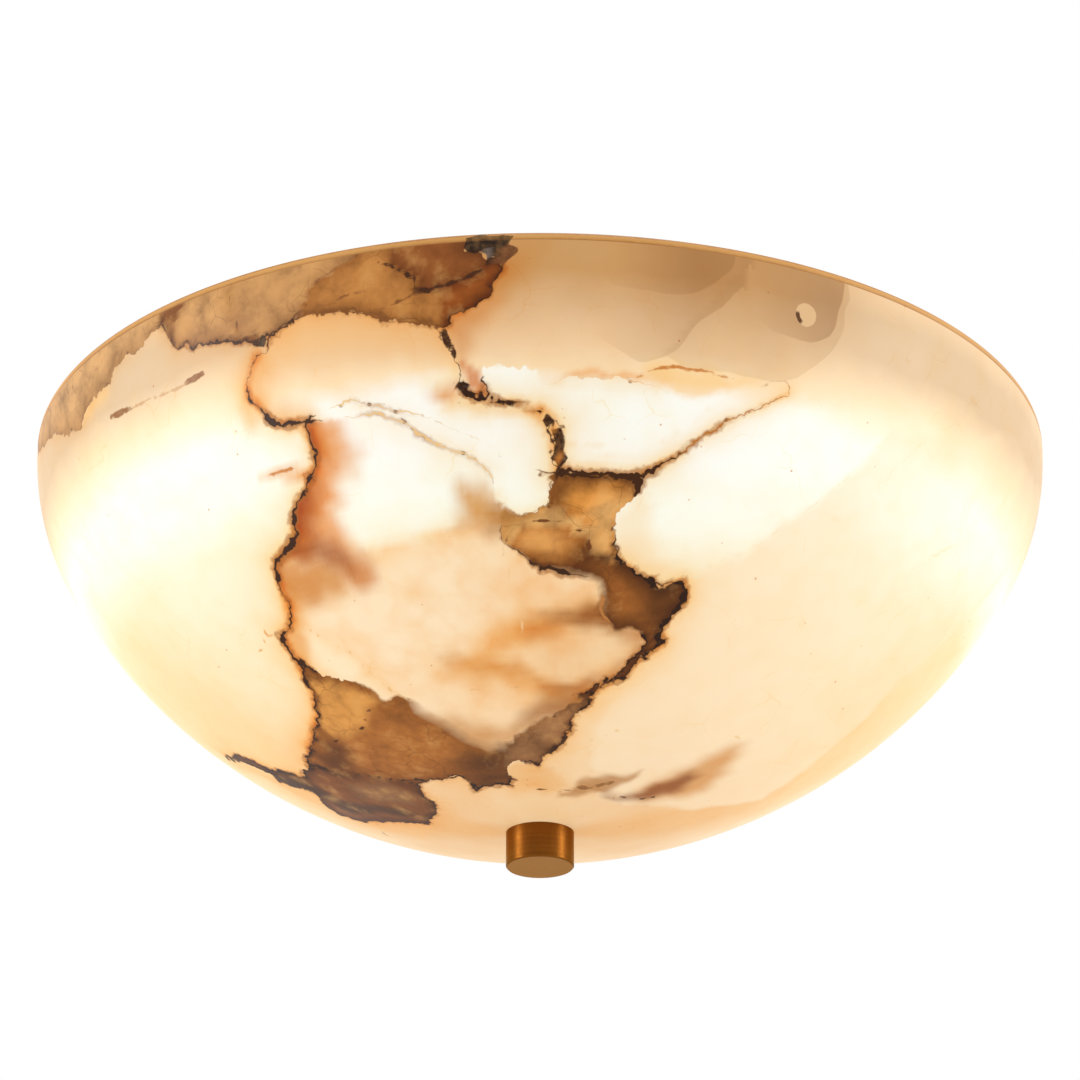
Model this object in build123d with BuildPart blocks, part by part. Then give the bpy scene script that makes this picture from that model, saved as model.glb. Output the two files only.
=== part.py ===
from build123d import *
import os
from math import acos, cos, degrees, radians, sin, tan

os.makedirs("parts", exist_ok=True)

# A ceiling light: a veined stone bowl hangs on a rod below a round pan of light emitting diodes.
# Millimetres. The ceiling is the plane z = 0, the stem's axis is z, and the light hangs below.

# Bowl: two tangent arcs outside, a wall of even thickness, seats cut flat at the middle
bowl_radius = 203.0
bowl_depth = 154.5
shoulder_radius = 90.0
rim_land = 1.8
rim_edge = 1.5
stone_wall = 12.0
stone_hole_radius = 6.9
outer_seat_depth = 0.6
inner_seat_depth = 0.5

# Canopy, stem and pan
canopy_radius = 67.0
canopy_height = 24.0
canopy_wall = 1.2
canopy_edge = 6.0
stem_radius = 11.0
stem_wall = 1.5
stem_length = 22.0
rim_below_pan_top = 0.0
pan_radius = 150.0
pan_height = 44.0
pan_wall = 1.2
pan_edge = 5.0
pan_bead = 1.2
vent_count = 12
vent_length = 26.0
vent_width = 4.0
vent_ring_radius = 88.0
vent_start = 15.0
lug_count = 4
lug_start = 45.0
lug_depth = 12.0
lug_width = 16.0

# Ceiling bracket and its studs
bracket_length = 122.0
bracket_width = 18.0
bracket_depth = 4.5
bracket_sheet = 1.5
bracket_corner = 1.2
bracket_hole_radius = 5.2
slot_spacing = 79.4
slot_length = 14.3
slot_width = 4.8
stud_spacing = 104.0
stud_radius = 2.0
stud_engagement = 6.3
knob_radius = 6.0
knob_height = 9.5
knob_flutes = 16
knob_flute_radius = 0.8
knob_washer_thickness = 0.6
knob_washer_radius = 5.4
knob_edge_angle = 35.0
knob_hole_spare = 1.0
ground_screw_place = 17.0
ground_screw_head = (8.0, 2.6)
ground_screw_flange = (4.9, 0.8)
ground_screw_slot = (1.2, 1.0)

# Hollow nipple, coupler and rod
nipple_radius = 5.0
nipple_bore = 3.5
nipple_stand = 1.8
nipple_engagement = 8.0
bushing_lip = 1.5
bushing_bore = 3.2
coupler_radius = 10.0
coupler_floor = 23.8
coupler_window_width = 8.0
coupler_window_height = 11.0
coupler_flat_width = 17.0
coupler_flat_height = 8.0
rod_radius = 4.0
finial_engagement = 8.75
washer_thickness = 1.0
washer_radius = 9.0
edge_break = 0.5

# Light engine
plate_thickness = 2.0
plate_drop = 32.0
board_wall_gap = 11.8
board_width = 25.0
board_thickness = 1.6
chip_count = 72
chip_inset = 7.0
chip_length = 3.5
chip_width = 2.8
chip_height = 0.8
plate_screw_inset = 7.5
plate_screw_radius = 2.0
plate_screw_head = (3.4, 2.2)
plate_screw_length = 8.0
head_rounding = 0.45
board_screw_count = 6
board_screw_inset = 4.5
small_screw_radius = 1.5
small_screw_head = (2.7, 1.7)
grommet_inset = 11.0
grommet_hole_radius = 5.0
grommet_bore = 2.7
grommet_flange = 1.5
grommet_lip = 1.0
connector_angle = 22.0
connector_inset = 6.0
connector_size = (8.0, 7.0, 4.2)
diffuser_depth = 6.0
diffuser_wall = 2.0
diffuser_edge = 2.5
diffuser_gap = 0.6

# Driver
driver_length = 84.0
driver_width = 38.0
driver_height = 24.0
driver_wall = 1.8
driver_place = (45.0, 76.0)
driver_lid_thickness = 2.0
driver_corner = 3.0
driver_ear = 8.0
driver_ear_drop = 12.0
gland_length = 4.0
gland_radius = 2.6
gland_depth = 3.0
input_gland_pitch = 6.0
output_gland_pitch = 5.4
board_post_height = 2.2
board_post_radius = 2.5
transformer_size = (16.8, 19.0)
transformer_offset = 2.0
capacitor_radius = 4.75
capacitor_offsets = ((-22.0, -7.0), (26.0, 6.0))
small_part_size = (9.3, 6.3)
small_part_offsets = ((-22.0, 8.0), (24.0, -9.0))
part_headroom = 2.0

# Seat of the bowl on the rod, and the finial
sleeve_radius = 6.5
sleeve_bore = 4.4
sleeve_gap = 0.2
seat_gasket_radius = 13.0
seat_gasket_thickness = 2.0
seat_washer_radius = 12.0
seat_washer_thickness = 1.6
finial_radius = 13.25
finial_drop = 13.9
finial_chamfer = 0.6
finial_hole_depth = 10.6
finial_gap = 0.3
finial_gasket_radius = 12.4
finial_gasket_thickness = 1.0
finial_recess_radius = 12.75

# Leads and wire nuts
supply_lead_radius = 0.95
output_lead_radius = 0.8
bend_share = 0.45
wire_nut_radius = 5.5
wire_nut_tip = 3.4
wire_nut_length = 20.0
wire_nut_socket = 3.0
wire_nut_wing = 1.2
wire_nut_wing_reach = 1.5
terminal_place = (-40.0, 34.0)
terminal_sheet = 0.8
terminal_ring = 4.2
terminal_barrel = 1.7
terminal_reach = 7.0
terminal_stop = 2.0
terminal_gap = 0.1
earth_screw_length = 6.5
output_lead_spread = 1.15
output_lead_pitch = 3.0
output_lead_run = 15.0

# Hexagon nuts: across flats and thickness
nipple_nut_size = (17.0, 5.0)
rod_nut_size = (13.0, 6.5)
stud_nut_size = (7.0, 3.2)

# Clearances
thread_clearance = 0.05
hole_clearance = 0.4
seat_gap = 0.2

# Heights that follow, from the ceiling down
canopy_floor = canopy_wall - canopy_height
stem_top = -canopy_height
pan_top = stem_top - stem_length
pan_ceiling = pan_top - pan_wall
pan_bottom = pan_top - pan_height
rim_height = pan_top - rim_below_pan_top
bowl_bottom = rim_height - bowl_depth
outer_seat = bowl_bottom + outer_seat_depth
inner_seat = bowl_bottom + stone_wall - inner_seat_depth
nipple_top = canopy_floor + washer_thickness + nipple_nut_size[1] + nipple_stand
coupler_top = pan_ceiling - washer_thickness
nipple_bottom = coupler_top - nipple_engagement
chamber_floor = coupler_top - coupler_floor
diffuser_top = pan_bottom + diffuser_wall
plate_top = pan_top - plate_drop
plate_bottom = plate_top - plate_thickness
board_bottom = plate_bottom - board_thickness
gasket_floor = outer_seat - finial_gasket_thickness
finial_bottom = bowl_bottom - finial_drop
rod_bottom = gasket_floor - finial_engagement
pan_inside = pan_radius - pan_wall
plate_screw_ring_radius = pan_radius - plate_screw_inset
board_outer = pan_inside - board_wall_gap
board_inner = board_outer - board_width
chip_ring_radius = board_outer - chip_inset
board_screw_ring_radius = board_inner + board_screw_inset
connector_ring_radius = board_inner + connector_inset
grommet_ring_radius = board_inner - grommet_inset


def hexagon_nut(size, bore, top, places=((0, 0),)):
    """Hexagon nuts with broken corners that hang down from their top faces."""
    across, thickness = size
    with BuildPart() as nut:
        with BuildSketch(Plane.XY.offset(top)):
            with Locations(*places):
                RegularPolygon(across / 2, 6, major_radius=False)
        extrude(amount=-thickness)
        with BuildSketch(Plane.XY.offset(top)):
            with Locations(*places):
                Circle(across / 2 + edge_break)
        extrude(amount=-thickness, mode=Mode.INTERSECT)
        with BuildSketch(Plane.XY.offset(top)):
            with Locations(*places):
                Circle(bore)
        extrude(amount=-thickness, mode=Mode.SUBTRACT)
    return nut.part


def flat_ring(outer, inner, top, thickness, places=((0, 0),)):
    """Washers, gaskets and discs, from their top faces down."""
    with BuildPart() as ring:
        with BuildSketch(Plane.XY.offset(top)):
            with Locations(*places):
                Circle(outer)
                Circle(inner, mode=Mode.SUBTRACT)
        extrude(amount=-thickness)
    return ring.part


def round_head_screws(head, shank_radius, seat, reach, places, up=True):
    """Screws whose heads sit on the height seat; the shanks reach up through the plates, or down."""
    head_radius, head_height = head
    way = 1 if up else -1
    with BuildPart() as screws:
        with BuildSketch(Plane.XY.offset(seat)):
            with Locations(*places):
                Circle(head_radius)
        extrude(amount=-way * head_height)
        rims = screws.edges().filter_by(GeomType.CIRCLE).group_by(Axis.Z)[0 if up else -1]
        fillet(rims, head_height * head_rounding)
        with BuildSketch(Plane.XY.offset(seat)):
            with Locations(*places):
                Circle(shank_radius)
        extrude(amount=way * reach)
    return screws.part


def ring_of(count, radius, start=0.0):
    """Places on a circle about the stem's axis."""
    steps = [radians(start + 360.0 * i / count) for i in range(count)]
    return [(radius * cos(a), radius * sin(a)) for a in steps]


def lead(name, route, radius):
    """An insulated lead: straight runs joined by arcs as large as the runs allow."""
    points = [Vector(*p) for p in route]
    bends = []
    for before, corner, after in zip(points, points[1:], points[2:]):
        run = min((corner - before).length, (after - corner).length)
        turn = (corner - before).get_angle(after - corner)
        bends.append(bend_share * run / tan(radians(turn) / 2))
    print(name, "bend radii", [round(b, 1) for b in bends])
    with BuildPart() as wire:
        with BuildLine():
            FilletPolyline(*route, radius=bends)
        with BuildSketch(Plane(origin=points[0], z_dir=points[1] - points[0])):
            Circle(radius)
        sweep()
    return wire.part


def finish(part, label):
    """Give a piece its name and write it."""
    part.label = label
    export_step(part, f"parts/{label}.step")


# Ceiling bracket: a channel of sheet steel with slots for two sizes of outlet box

stud_places = [(-stud_spacing / 2, 0), (stud_spacing / 2, 0)]

with BuildPart() as mounting_bracket:
    with BuildSketch(Plane.YZ) as channel:
        with Locations((0, -bracket_depth / 2)):
            Rectangle(bracket_width, bracket_depth)
        fillet(channel.vertices().group_by(Axis.Y)[-1], bracket_corner)
        with Locations((0, -bracket_depth / 2 - bracket_sheet)):
            Rectangle(bracket_width - 2 * bracket_sheet, bracket_depth, mode=Mode.SUBTRACT)
    extrude(amount=bracket_length / 2, both=True)
    with BuildSketch(Plane.XY):
        with Locations((-slot_spacing / 2, 0), (slot_spacing / 2, 0)):
            SlotOverall(slot_length, slot_width)
        with Locations(*stud_places):
            Circle(stud_radius)
        with Locations((ground_screw_place, 0)):
            Circle(stud_radius)
        Circle(bracket_hole_radius)
    extrude(amount=-bracket_sheet, mode=Mode.SUBTRACT)
finish(mounting_bracket.part, "mounting_bracket")

head_seat = -bracket_sheet - ground_screw_flange[1]

with BuildPart() as ground_screw:
    with BuildSketch(Plane.XY.offset(-bracket_sheet)):
        with Locations((ground_screw_place, 0)):
            Circle(ground_screw_flange[0])
    extrude(amount=-ground_screw_flange[1])
    with BuildSketch(Plane.XY.offset(head_seat)):
        with Locations((ground_screw_place, 0)):
            RegularPolygon(ground_screw_head[0] / 2, 6, major_radius=False)
    extrude(amount=-ground_screw_head[1])
    chamfer(ground_screw.edges().group_by(Axis.Z)[0], edge_break / 2)
    with BuildSketch(Plane.XY.offset(head_seat - ground_screw_head[1])):
        with Locations((ground_screw_place, 0)):
            Rectangle(ground_screw_slot[0], 2 * ground_screw_head[0])
    extrude(amount=ground_screw_slot[1], mode=Mode.SUBTRACT)
    with BuildSketch(Plane.XY.offset(-bracket_sheet)):
        with Locations((ground_screw_place, 0)):
            Circle(stud_radius - thread_clearance)
    extrude(amount=bracket_sheet - thread_clearance)
finish(ground_screw.part, "ground_screw")

knob_seat = -canopy_height - knob_washer_thickness
stud_bottom = knob_seat - stud_engagement

with BuildPart() as canopy_studs:
    with BuildSketch(Plane.XY.offset(stud_bottom)):
        with Locations(*stud_places):
            Circle(stud_radius)
    extrude(amount=-stud_bottom - thread_clearance)
    chamfer(canopy_studs.edges().group_by(Axis.Z)[0], edge_break)
finish(canopy_studs.part, "canopy_studs")

finish(
    hexagon_nut(stud_nut_size, stud_radius + thread_clearance, -bracket_sheet, stud_places),
    "stud_lock_nuts",
)

# Canopy: a spun cup, closed by the ceiling

with BuildPart() as canopy:
    with BuildSketch(Plane.XY.offset(-canopy_height)):
        Circle(canopy_radius)
    extrude(amount=canopy_height)
    fillet(canopy.edges().group_by(Axis.Z)[0], canopy_edge)
    offset(amount=-canopy_wall, openings=canopy.faces().sort_by(Axis.Z)[-1])
    with BuildSketch(Plane.XY.offset(-canopy_height)):
        Circle(nipple_radius + thread_clearance)
        with Locations(*stud_places):
            Circle(stud_radius + hole_clearance)
    extrude(amount=canopy_wall, mode=Mode.SUBTRACT)
finish(canopy.part, "canopy")

# Knurled knobs and their washers hold the canopy on the studs

for side, place in zip(("left", "right"), stud_places):
    washer = flat_ring(
        knob_washer_radius, stud_radius + hole_clearance, -canopy_height, knob_washer_thickness, [place]
    )
    finish(washer, f"knob_washer_{side}")
    with BuildPart() as knob:
        with BuildSketch(Plane.XY.offset(knob_seat)):
            with Locations(place):
                Circle(knob_radius)
                with PolarLocations(knob_radius + knob_flute_radius / 2, knob_flutes):
                    Circle(knob_flute_radius, mode=Mode.SUBTRACT)
        extrude(amount=-knob_height)
        with BuildSketch(Plane.XY.offset(knob_seat - knob_height)):
            with Locations(place):
                Circle(knob_radius)
        extrude(amount=knob_height, taper=-knob_edge_angle, mode=Mode.INTERSECT)
        with BuildSketch(Plane.XY.offset(knob_seat)):
            with Locations(place):
                Circle(stud_radius + thread_clearance)
        extrude(amount=-stud_engagement - knob_hole_spare, mode=Mode.SUBTRACT)
    finish(knob.part, f"canopy_knob_{side}")

# Hollow nipple through the canopy, with its nut, washer and insulating bushing

with BuildPart() as nipple:
    with BuildSketch(Plane.XY.offset(nipple_bottom)):
        Circle(nipple_radius)
        Circle(nipple_bore, mode=Mode.SUBTRACT)
    extrude(amount=nipple_top - nipple_bottom)
finish(nipple.part, "nipple")

with BuildPart() as nipple_bushing:
    with BuildSketch(Plane.XZ) as bushing_profile:
        with BuildLine():
            Polyline(
                (bushing_bore, nipple_top + bushing_lip),
                (nipple_radius, nipple_top + bushing_lip),
                (nipple_radius, nipple_top),
                (nipple_bore, nipple_top),
                (nipple_bore, nipple_top - 2 * bushing_lip),
                (bushing_bore, nipple_top - 2 * bushing_lip),
                close=True,
            )
        make_face()
    revolve()
    lip_edges = nipple_bushing.edges().filter_by(GeomType.CIRCLE).group_by(Axis.Z)[-1]
    fillet(lip_edges, bushing_lip / 3)
finish(nipple_bushing.part, "nipple_bushing")

finish(
    hexagon_nut(nipple_nut_size, nipple_radius + thread_clearance, canopy_floor + washer_thickness
                + nipple_nut_size[1]),
    "nipple_nut",
)
finish(
    flat_ring(washer_radius, nipple_radius + thread_clearance, canopy_floor + washer_thickness,
              washer_thickness),
    "nipple_lock_washer",
)
with BuildPart() as stem_tube:
    with BuildSketch(Plane.XY.offset(pan_top)):
        Circle(stem_radius)
        Circle(stem_radius - stem_wall, mode=Mode.SUBTRACT)
    extrude(amount=stem_length)
    outer_rims = stem_tube.faces().filter_by(GeomType.CYLINDER).sort_by(SortBy.AREA)[-1].edges()
    chamfer(outer_rims.filter_by(GeomType.CIRCLE), edge_break)
finish(stem_tube.part, "stem_tube")

# Pan: pressed sheet with vents in its top, a beaded edge, and lugs that carry the plate

lug_places = ring_of(lug_count, plate_screw_ring_radius, lug_start)

with BuildPart() as led_housing:
    with BuildSketch(Plane.XY.offset(pan_bottom)):
        Circle(pan_radius)
    extrude(amount=pan_height)
    fillet(led_housing.edges().group_by(Axis.Z)[-1], pan_edge)
    offset(amount=-pan_wall, openings=led_housing.faces().sort_by(Axis.Z)[0])
    with BuildSketch(Plane.XZ):
        with Locations((pan_radius, pan_bottom + pan_bead)):
            Circle(pan_bead)
        with Locations((pan_radius - pan_wall - pan_bead, pan_bottom + pan_bead)):
            Rectangle(2 * pan_bead, 2 * pan_bead, mode=Mode.SUBTRACT)
    revolve()
    with BuildSketch(Plane.XY.offset(plate_top)):
        with PolarLocations(pan_inside - lug_depth / 2 + pan_wall / 2, lug_count, start_angle=lug_start):
            Rectangle(lug_depth + pan_wall, lug_width)
        with Locations(*lug_places):
            Circle(plate_screw_radius + thread_clearance, mode=Mode.SUBTRACT)
    extrude(amount=pan_wall)
    with BuildSketch(Plane.XY.offset(pan_top)):
        Circle(nipple_radius + thread_clearance)
        with PolarLocations(vent_ring_radius, vent_count, start_angle=vent_start):
            SlotOverall(vent_length, vent_width)
        with Locations(terminal_place):
            Circle(stud_radius + thread_clearance)
    extrude(amount=-pan_wall, mode=Mode.SUBTRACT)
finish(led_housing.part, "led_housing")
finish(
    flat_ring(washer_radius, nipple_radius + thread_clearance, pan_ceiling, washer_thickness),
    "housing_washer",
)

# Coupler: screws onto the nipple, carries the rod, and lets the leads out of its window

with BuildPart() as rod_coupler:
    with BuildSketch(Plane.XY.offset(diffuser_top)):
        Circle(coupler_radius)
    extrude(amount=coupler_top - diffuser_top)
    chamfer(rod_coupler.edges().filter_by(GeomType.CIRCLE), edge_break)
    with BuildSketch(Plane.XY.offset(coupler_top)):
        Circle(nipple_radius + thread_clearance)
    extrude(amount=-coupler_floor, mode=Mode.SUBTRACT)
    with BuildSketch(Plane.XY.offset(chamber_floor)):
        Circle(rod_radius + thread_clearance)
    extrude(amount=diffuser_top - chamber_floor, mode=Mode.SUBTRACT)
    with BuildSketch(Plane.XZ):
        with Locations((0, chamber_floor + edge_break + coupler_window_height / 2)):
            SlotOverall(coupler_window_height, coupler_window_width, rotation=90)
    extrude(amount=-coupler_radius, mode=Mode.SUBTRACT)
    with BuildSketch(Plane.XY.offset(coupler_top - 2 * edge_break)):
        Rectangle(2 * coupler_radius, 2 * coupler_radius)
        Rectangle(2 * coupler_radius, coupler_flat_width, mode=Mode.SUBTRACT)
    extrude(amount=-coupler_flat_height, mode=Mode.SUBTRACT)
finish(rod_coupler.part, "rod_coupler")

with BuildPart() as center_rod:
    with BuildSketch(Plane.XY.offset(rod_bottom)):
        Circle(rod_radius)
    extrude(amount=chamber_floor - rod_bottom)
    chamfer(center_rod.edges().filter_by(GeomType.CIRCLE), edge_break)
finish(center_rod.part, "center_rod")

# Light engine: plate, ring board with its chips, connector, screws, grommet and opal diffuser

connector_turn = radians(connector_angle)
outward = (cos(connector_turn), sin(connector_turn))
grommet_place = (grommet_ring_radius * outward[0], grommet_ring_radius * outward[1])
board_screw_places = ring_of(board_screw_count, board_screw_ring_radius, lug_start)
driver_x, driver_y = driver_place
driver_left = driver_x - driver_length / 2
driver_right = driver_x + driver_length / 2
ear_places = [
    (driver_left - driver_ear / 2, driver_y - driver_ear_drop),
    (driver_right + driver_ear / 2, driver_y - driver_ear_drop),
]

with BuildPart() as led_plate:
    with BuildSketch(Plane.XY.offset(plate_top)):
        Circle(pan_inside - diffuser_gap)
        Circle(coupler_radius + hole_clearance, mode=Mode.SUBTRACT)
        with Locations(*lug_places):
            Circle(plate_screw_radius + thread_clearance, mode=Mode.SUBTRACT)
        with Locations(*board_screw_places, *ear_places):
            Circle(small_screw_radius + thread_clearance, mode=Mode.SUBTRACT)
        with Locations(grommet_place):
            Circle(grommet_hole_radius, mode=Mode.SUBTRACT)
    extrude(amount=-plate_thickness)
finish(led_plate.part, "led_plate")

finish(
    round_head_screws(plate_screw_head, plate_screw_radius, plate_bottom, plate_screw_length, lug_places),
    "plate_screws",
)

with BuildPart() as led_board:
    with BuildSketch(Plane.XY.offset(plate_bottom)):
        Circle(board_outer)
        Circle(board_inner, mode=Mode.SUBTRACT)
        with Locations(*board_screw_places):
            Circle(small_screw_radius + thread_clearance, mode=Mode.SUBTRACT)
    extrude(amount=-board_thickness)
finish(led_board.part, "led_board")

with BuildPart() as led_chips:
    with BuildSketch(Plane.XY.offset(board_bottom)):
        with PolarLocations(chip_ring_radius, chip_count):
            Rectangle(chip_width, chip_length)
    extrude(amount=-chip_height)
finish(led_chips.part, "led_chips")

finish(
    round_head_screws(
        small_screw_head, small_screw_radius, board_bottom, board_thickness + plate_thickness,
        board_screw_places,
    ),
    "board_screws",
)

with BuildPart() as board_connector:
    with BuildSketch(Plane.XY.offset(board_bottom)):
        with PolarLocations(connector_ring_radius, 1, start_angle=connector_angle):
            Rectangle(connector_size[0], connector_size[1])
    extrude(amount=-connector_size[2])
    chamfer(board_connector.edges().group_by(Axis.Z)[0], edge_break)
finish(board_connector.part, "board_connector")

flange_radius = grommet_hole_radius + grommet_flange

with BuildPart() as plate_grommet:
    with BuildSketch(Plane(origin=(*grommet_place, 0), z_dir=(0, 1, 0), x_dir=(1, 0, 0))):
        with BuildLine():
            Polyline(
                (grommet_bore, -plate_top - grommet_lip),
                (flange_radius, -plate_top - grommet_lip),
                (flange_radius, -plate_top),
                (grommet_hole_radius, -plate_top),
                (grommet_hole_radius, -plate_bottom),
                (flange_radius, -plate_bottom),
                (flange_radius, -plate_bottom + grommet_lip),
                (grommet_bore, -plate_bottom + grommet_lip),
                close=True,
            )
        make_face()
    revolve(axis=Axis((*grommet_place, 0), (0, 0, 1)))
finish(plate_grommet.part, "plate_grommet")

with BuildPart() as diffuser:
    with BuildSketch(Plane.XY.offset(pan_bottom)):
        Circle(pan_inside - diffuser_gap)
    extrude(amount=diffuser_depth)
    fillet(diffuser.edges().group_by(Axis.Z)[0], diffuser_edge)
    offset(amount=-diffuser_wall, openings=diffuser.faces().sort_by(Axis.Z)[-1])
    with BuildSketch(Plane.XY.offset(pan_bottom)):
        Circle(rod_radius + hole_clearance)
    extrude(amount=diffuser_wall, mode=Mode.SUBTRACT)
finish(diffuser.part, "diffuser")
finish(hexagon_nut(rod_nut_size, rod_radius + thread_clearance, pan_bottom), "diffuser_nut")

# Driver: a moulded case on the plate, with glands for the leads, its board and its lid

lid_seat = plate_top + driver_height - driver_lid_thickness
lead_height = plate_top + (driver_height - driver_lid_thickness) / 2
input_glands = [driver_y - input_gland_pitch / 2, driver_y + input_gland_pitch / 2]
output_glands = [driver_y - output_gland_pitch / 2, driver_y + output_gland_pitch / 2]
post_x = driver_length / 2 - 2 * driver_corner - driver_wall
post_y = driver_width / 2 - driver_corner - driver_wall
post_places = [(driver_x + i * post_x, driver_y + j * post_y) for i in (-1, 1) for j in (-1, 1)]
input_places = [(y, lead_height) for y in input_glands]
output_places = [(y, lead_height) for y in output_glands]
case_inside = (driver_length - 2 * driver_wall, driver_width - 2 * driver_wall)
inner_corner = driver_corner - driver_wall / 2

with BuildPart() as driver_case:
    with BuildSketch(Plane.XY.offset(plate_top)):
        with Locations(driver_place):
            RectangleRounded(driver_length, driver_width, driver_corner)
    extrude(amount=lid_seat - plate_top)
    with BuildSketch(Plane.XY.offset(plate_top + driver_wall)):
        with Locations(driver_place):
            RectangleRounded(*case_inside, inner_corner)
        with Locations(*post_places):
            Circle(board_post_radius, mode=Mode.SUBTRACT)
    extrude(amount=board_post_height, mode=Mode.SUBTRACT)
    with BuildSketch(Plane.XY.offset(plate_top + driver_wall + board_post_height)):
        with Locations(driver_place):
            RectangleRounded(*case_inside, inner_corner)
    extrude(amount=driver_height, mode=Mode.SUBTRACT)
    with BuildSketch(Plane.XY.offset(plate_top)):
        with Locations(*ear_places):
            Rectangle(driver_ear + 2 * driver_wall, driver_ear)
            Circle(small_screw_radius + thread_clearance, mode=Mode.SUBTRACT)
        with Locations(driver_place):
            Rectangle(driver_length - driver_wall, driver_width - driver_wall, mode=Mode.SUBTRACT)
    extrude(amount=driver_wall)
    with BuildSketch(Plane.YZ.offset(driver_left - gland_length)):
        with Locations(*input_places):
            Circle(gland_radius)
    extrude(amount=gland_length)
    with BuildSketch(Plane.YZ.offset(driver_left - gland_length)):
        with Locations(*input_places):
            Circle(supply_lead_radius + hole_clearance / 4)
    extrude(amount=gland_depth, mode=Mode.SUBTRACT)
    with BuildSketch(Plane.YZ.offset(driver_right + gland_length)):
        with Locations(*output_places):
            Circle(gland_radius)
    extrude(amount=-gland_length)
    with BuildSketch(Plane.YZ.offset(driver_right + gland_length)):
        with Locations(*output_places):
            Circle(output_lead_radius + hole_clearance / 4)
    extrude(amount=-gland_depth, mode=Mode.SUBTRACT)
finish(driver_case.part, "driver_case")

with BuildPart() as driver_lid:
    with BuildSketch(Plane.XY.offset(lid_seat)):
        with Locations(driver_place):
            RectangleRounded(driver_length, driver_width, driver_corner)
    extrude(amount=driver_lid_thickness)
    fillet(driver_lid.edges().group_by(Axis.Z)[-1], driver_lid_thickness / 2)
    with BuildSketch(Plane.XY.offset(lid_seat)):
        with Locations(driver_place):
            RectangleRounded(case_inside[0] - seat_gap, case_inside[1] - seat_gap, inner_corner)
            RectangleRounded(
                case_inside[0] - 2 * driver_wall,
                case_inside[1] - 2 * driver_wall,
                inner_corner,
                mode=Mode.SUBTRACT,
            )
    extrude(amount=-driver_wall)
finish(driver_lid.part, "driver_lid")

circuit_seat = plate_top + driver_wall + board_post_height
circuit_top = circuit_seat + board_thickness
part_height = lid_seat - driver_wall - circuit_top - part_headroom

with BuildPart() as driver_board:
    with BuildSketch(Plane.XY.offset(circuit_seat)):
        with Locations(driver_place):
            RectangleRounded(case_inside[0] - 2 * seat_gap, case_inside[1] - 2 * seat_gap, inner_corner)
    extrude(amount=board_thickness)
    with BuildSketch(Plane.XY.offset(circuit_top)):
        with Locations((driver_x + transformer_offset, driver_y)):
            Rectangle(*transformer_size)
    extrude(amount=part_height)
    with BuildSketch(Plane.XY.offset(circuit_top)):
        with Locations(*[(driver_x + x, driver_y + y) for x, y in capacitor_offsets]):
            Circle(capacitor_radius)
    extrude(amount=part_height)
    with BuildSketch(Plane.XY.offset(circuit_top)):
        with Locations(*[(driver_x + x, driver_y + y) for x, y in small_part_offsets]):
            Rectangle(*small_part_size)
    extrude(amount=part_height / 2)
finish(driver_board.part, "driver_board")

finish(
    round_head_screws(
        small_screw_head, small_screw_radius, plate_top + driver_wall, driver_wall + plate_thickness,
        ear_places, up=False,
    ),
    "driver_screws",
)

# Earth terminal: a crimped ring under the pan's top, with its screw and nut

terminal_x, terminal_y = terminal_place
barrel_height = pan_ceiling - terminal_barrel - terminal_gap
barrel_start = terminal_x + terminal_ring - edge_break

with BuildPart() as earth_terminal:
    with BuildSketch(Plane.XY.offset(pan_ceiling)):
        with Locations(terminal_place):
            Circle(terminal_ring)
        with Locations((terminal_x + terminal_ring / 2, terminal_y)):
            Rectangle(terminal_ring + terminal_stop, 2 * terminal_barrel)
        with Locations(terminal_place):
            Circle(stud_radius + thread_clearance, mode=Mode.SUBTRACT)
    extrude(amount=-terminal_sheet)
    with BuildSketch(Plane.YZ.offset(barrel_start)):
        with Locations((terminal_y, barrel_height)):
            Circle(terminal_barrel)
    extrude(amount=terminal_reach)
    with BuildSketch(Plane.YZ.offset(barrel_start + terminal_reach)):
        with Locations((terminal_y, barrel_height)):
            Circle(supply_lead_radius + hole_clearance / 4)
    extrude(amount=terminal_stop - terminal_reach, mode=Mode.SUBTRACT)
finish(earth_terminal.part, "earth_terminal")

finish(
    round_head_screws(
        plate_screw_head, stud_radius, pan_ceiling - terminal_sheet, earth_screw_length, [terminal_place]
    ),
    "earth_screw",
)
finish(
    hexagon_nut(
        stud_nut_size, stud_radius + thread_clearance, pan_top + stud_nut_size[1], [terminal_place]
    ),
    "earth_nut",
)

# Wire nuts lie on the canopy's floor; each takes the end of one supply lead in its mouth

nut_height = canopy_floor + wire_nut_radius + seat_gap
wire_nuts = {
    "line": ((-28.0, 20.5), (-0.8, 0.6)),
    "neutral": ((28.0, 20.5), (0.8, 0.6)),
    "earth": ((0.0, 33.0), (0.0, 1.0)),
}
for wire, ((mouth_x, mouth_y), heading) in wire_nuts.items():
    mouth = Plane(origin=(mouth_x, mouth_y, nut_height), x_dir=(0, 0, 1), z_dir=(*heading, 0))
    with BuildPart() as wire_nut:
        with BuildSketch(mouth):
            Circle(wire_nut_radius)
        with BuildSketch(mouth.offset(wire_nut_length)):
            Circle(wire_nut_tip)
        loft()
        fillet(wire_nut.faces().sort_by(Axis((0, 0, 0), (*heading, 0)))[-1].edges(), wire_nut_tip / 3)
        with BuildSketch(mouth.offset(wire_nut_length / 3)):
            Rectangle(wire_nut_wing, 2 * (wire_nut_radius + wire_nut_wing_reach))
        extrude(amount=wire_nut_length / 2)
        with BuildSketch(mouth):
            Circle(wire_nut_tip)
        extrude(amount=wire_nut_socket, mode=Mode.SUBTRACT)
    finish(wire_nut.part, f"wire_nut_{wire}")

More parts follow.
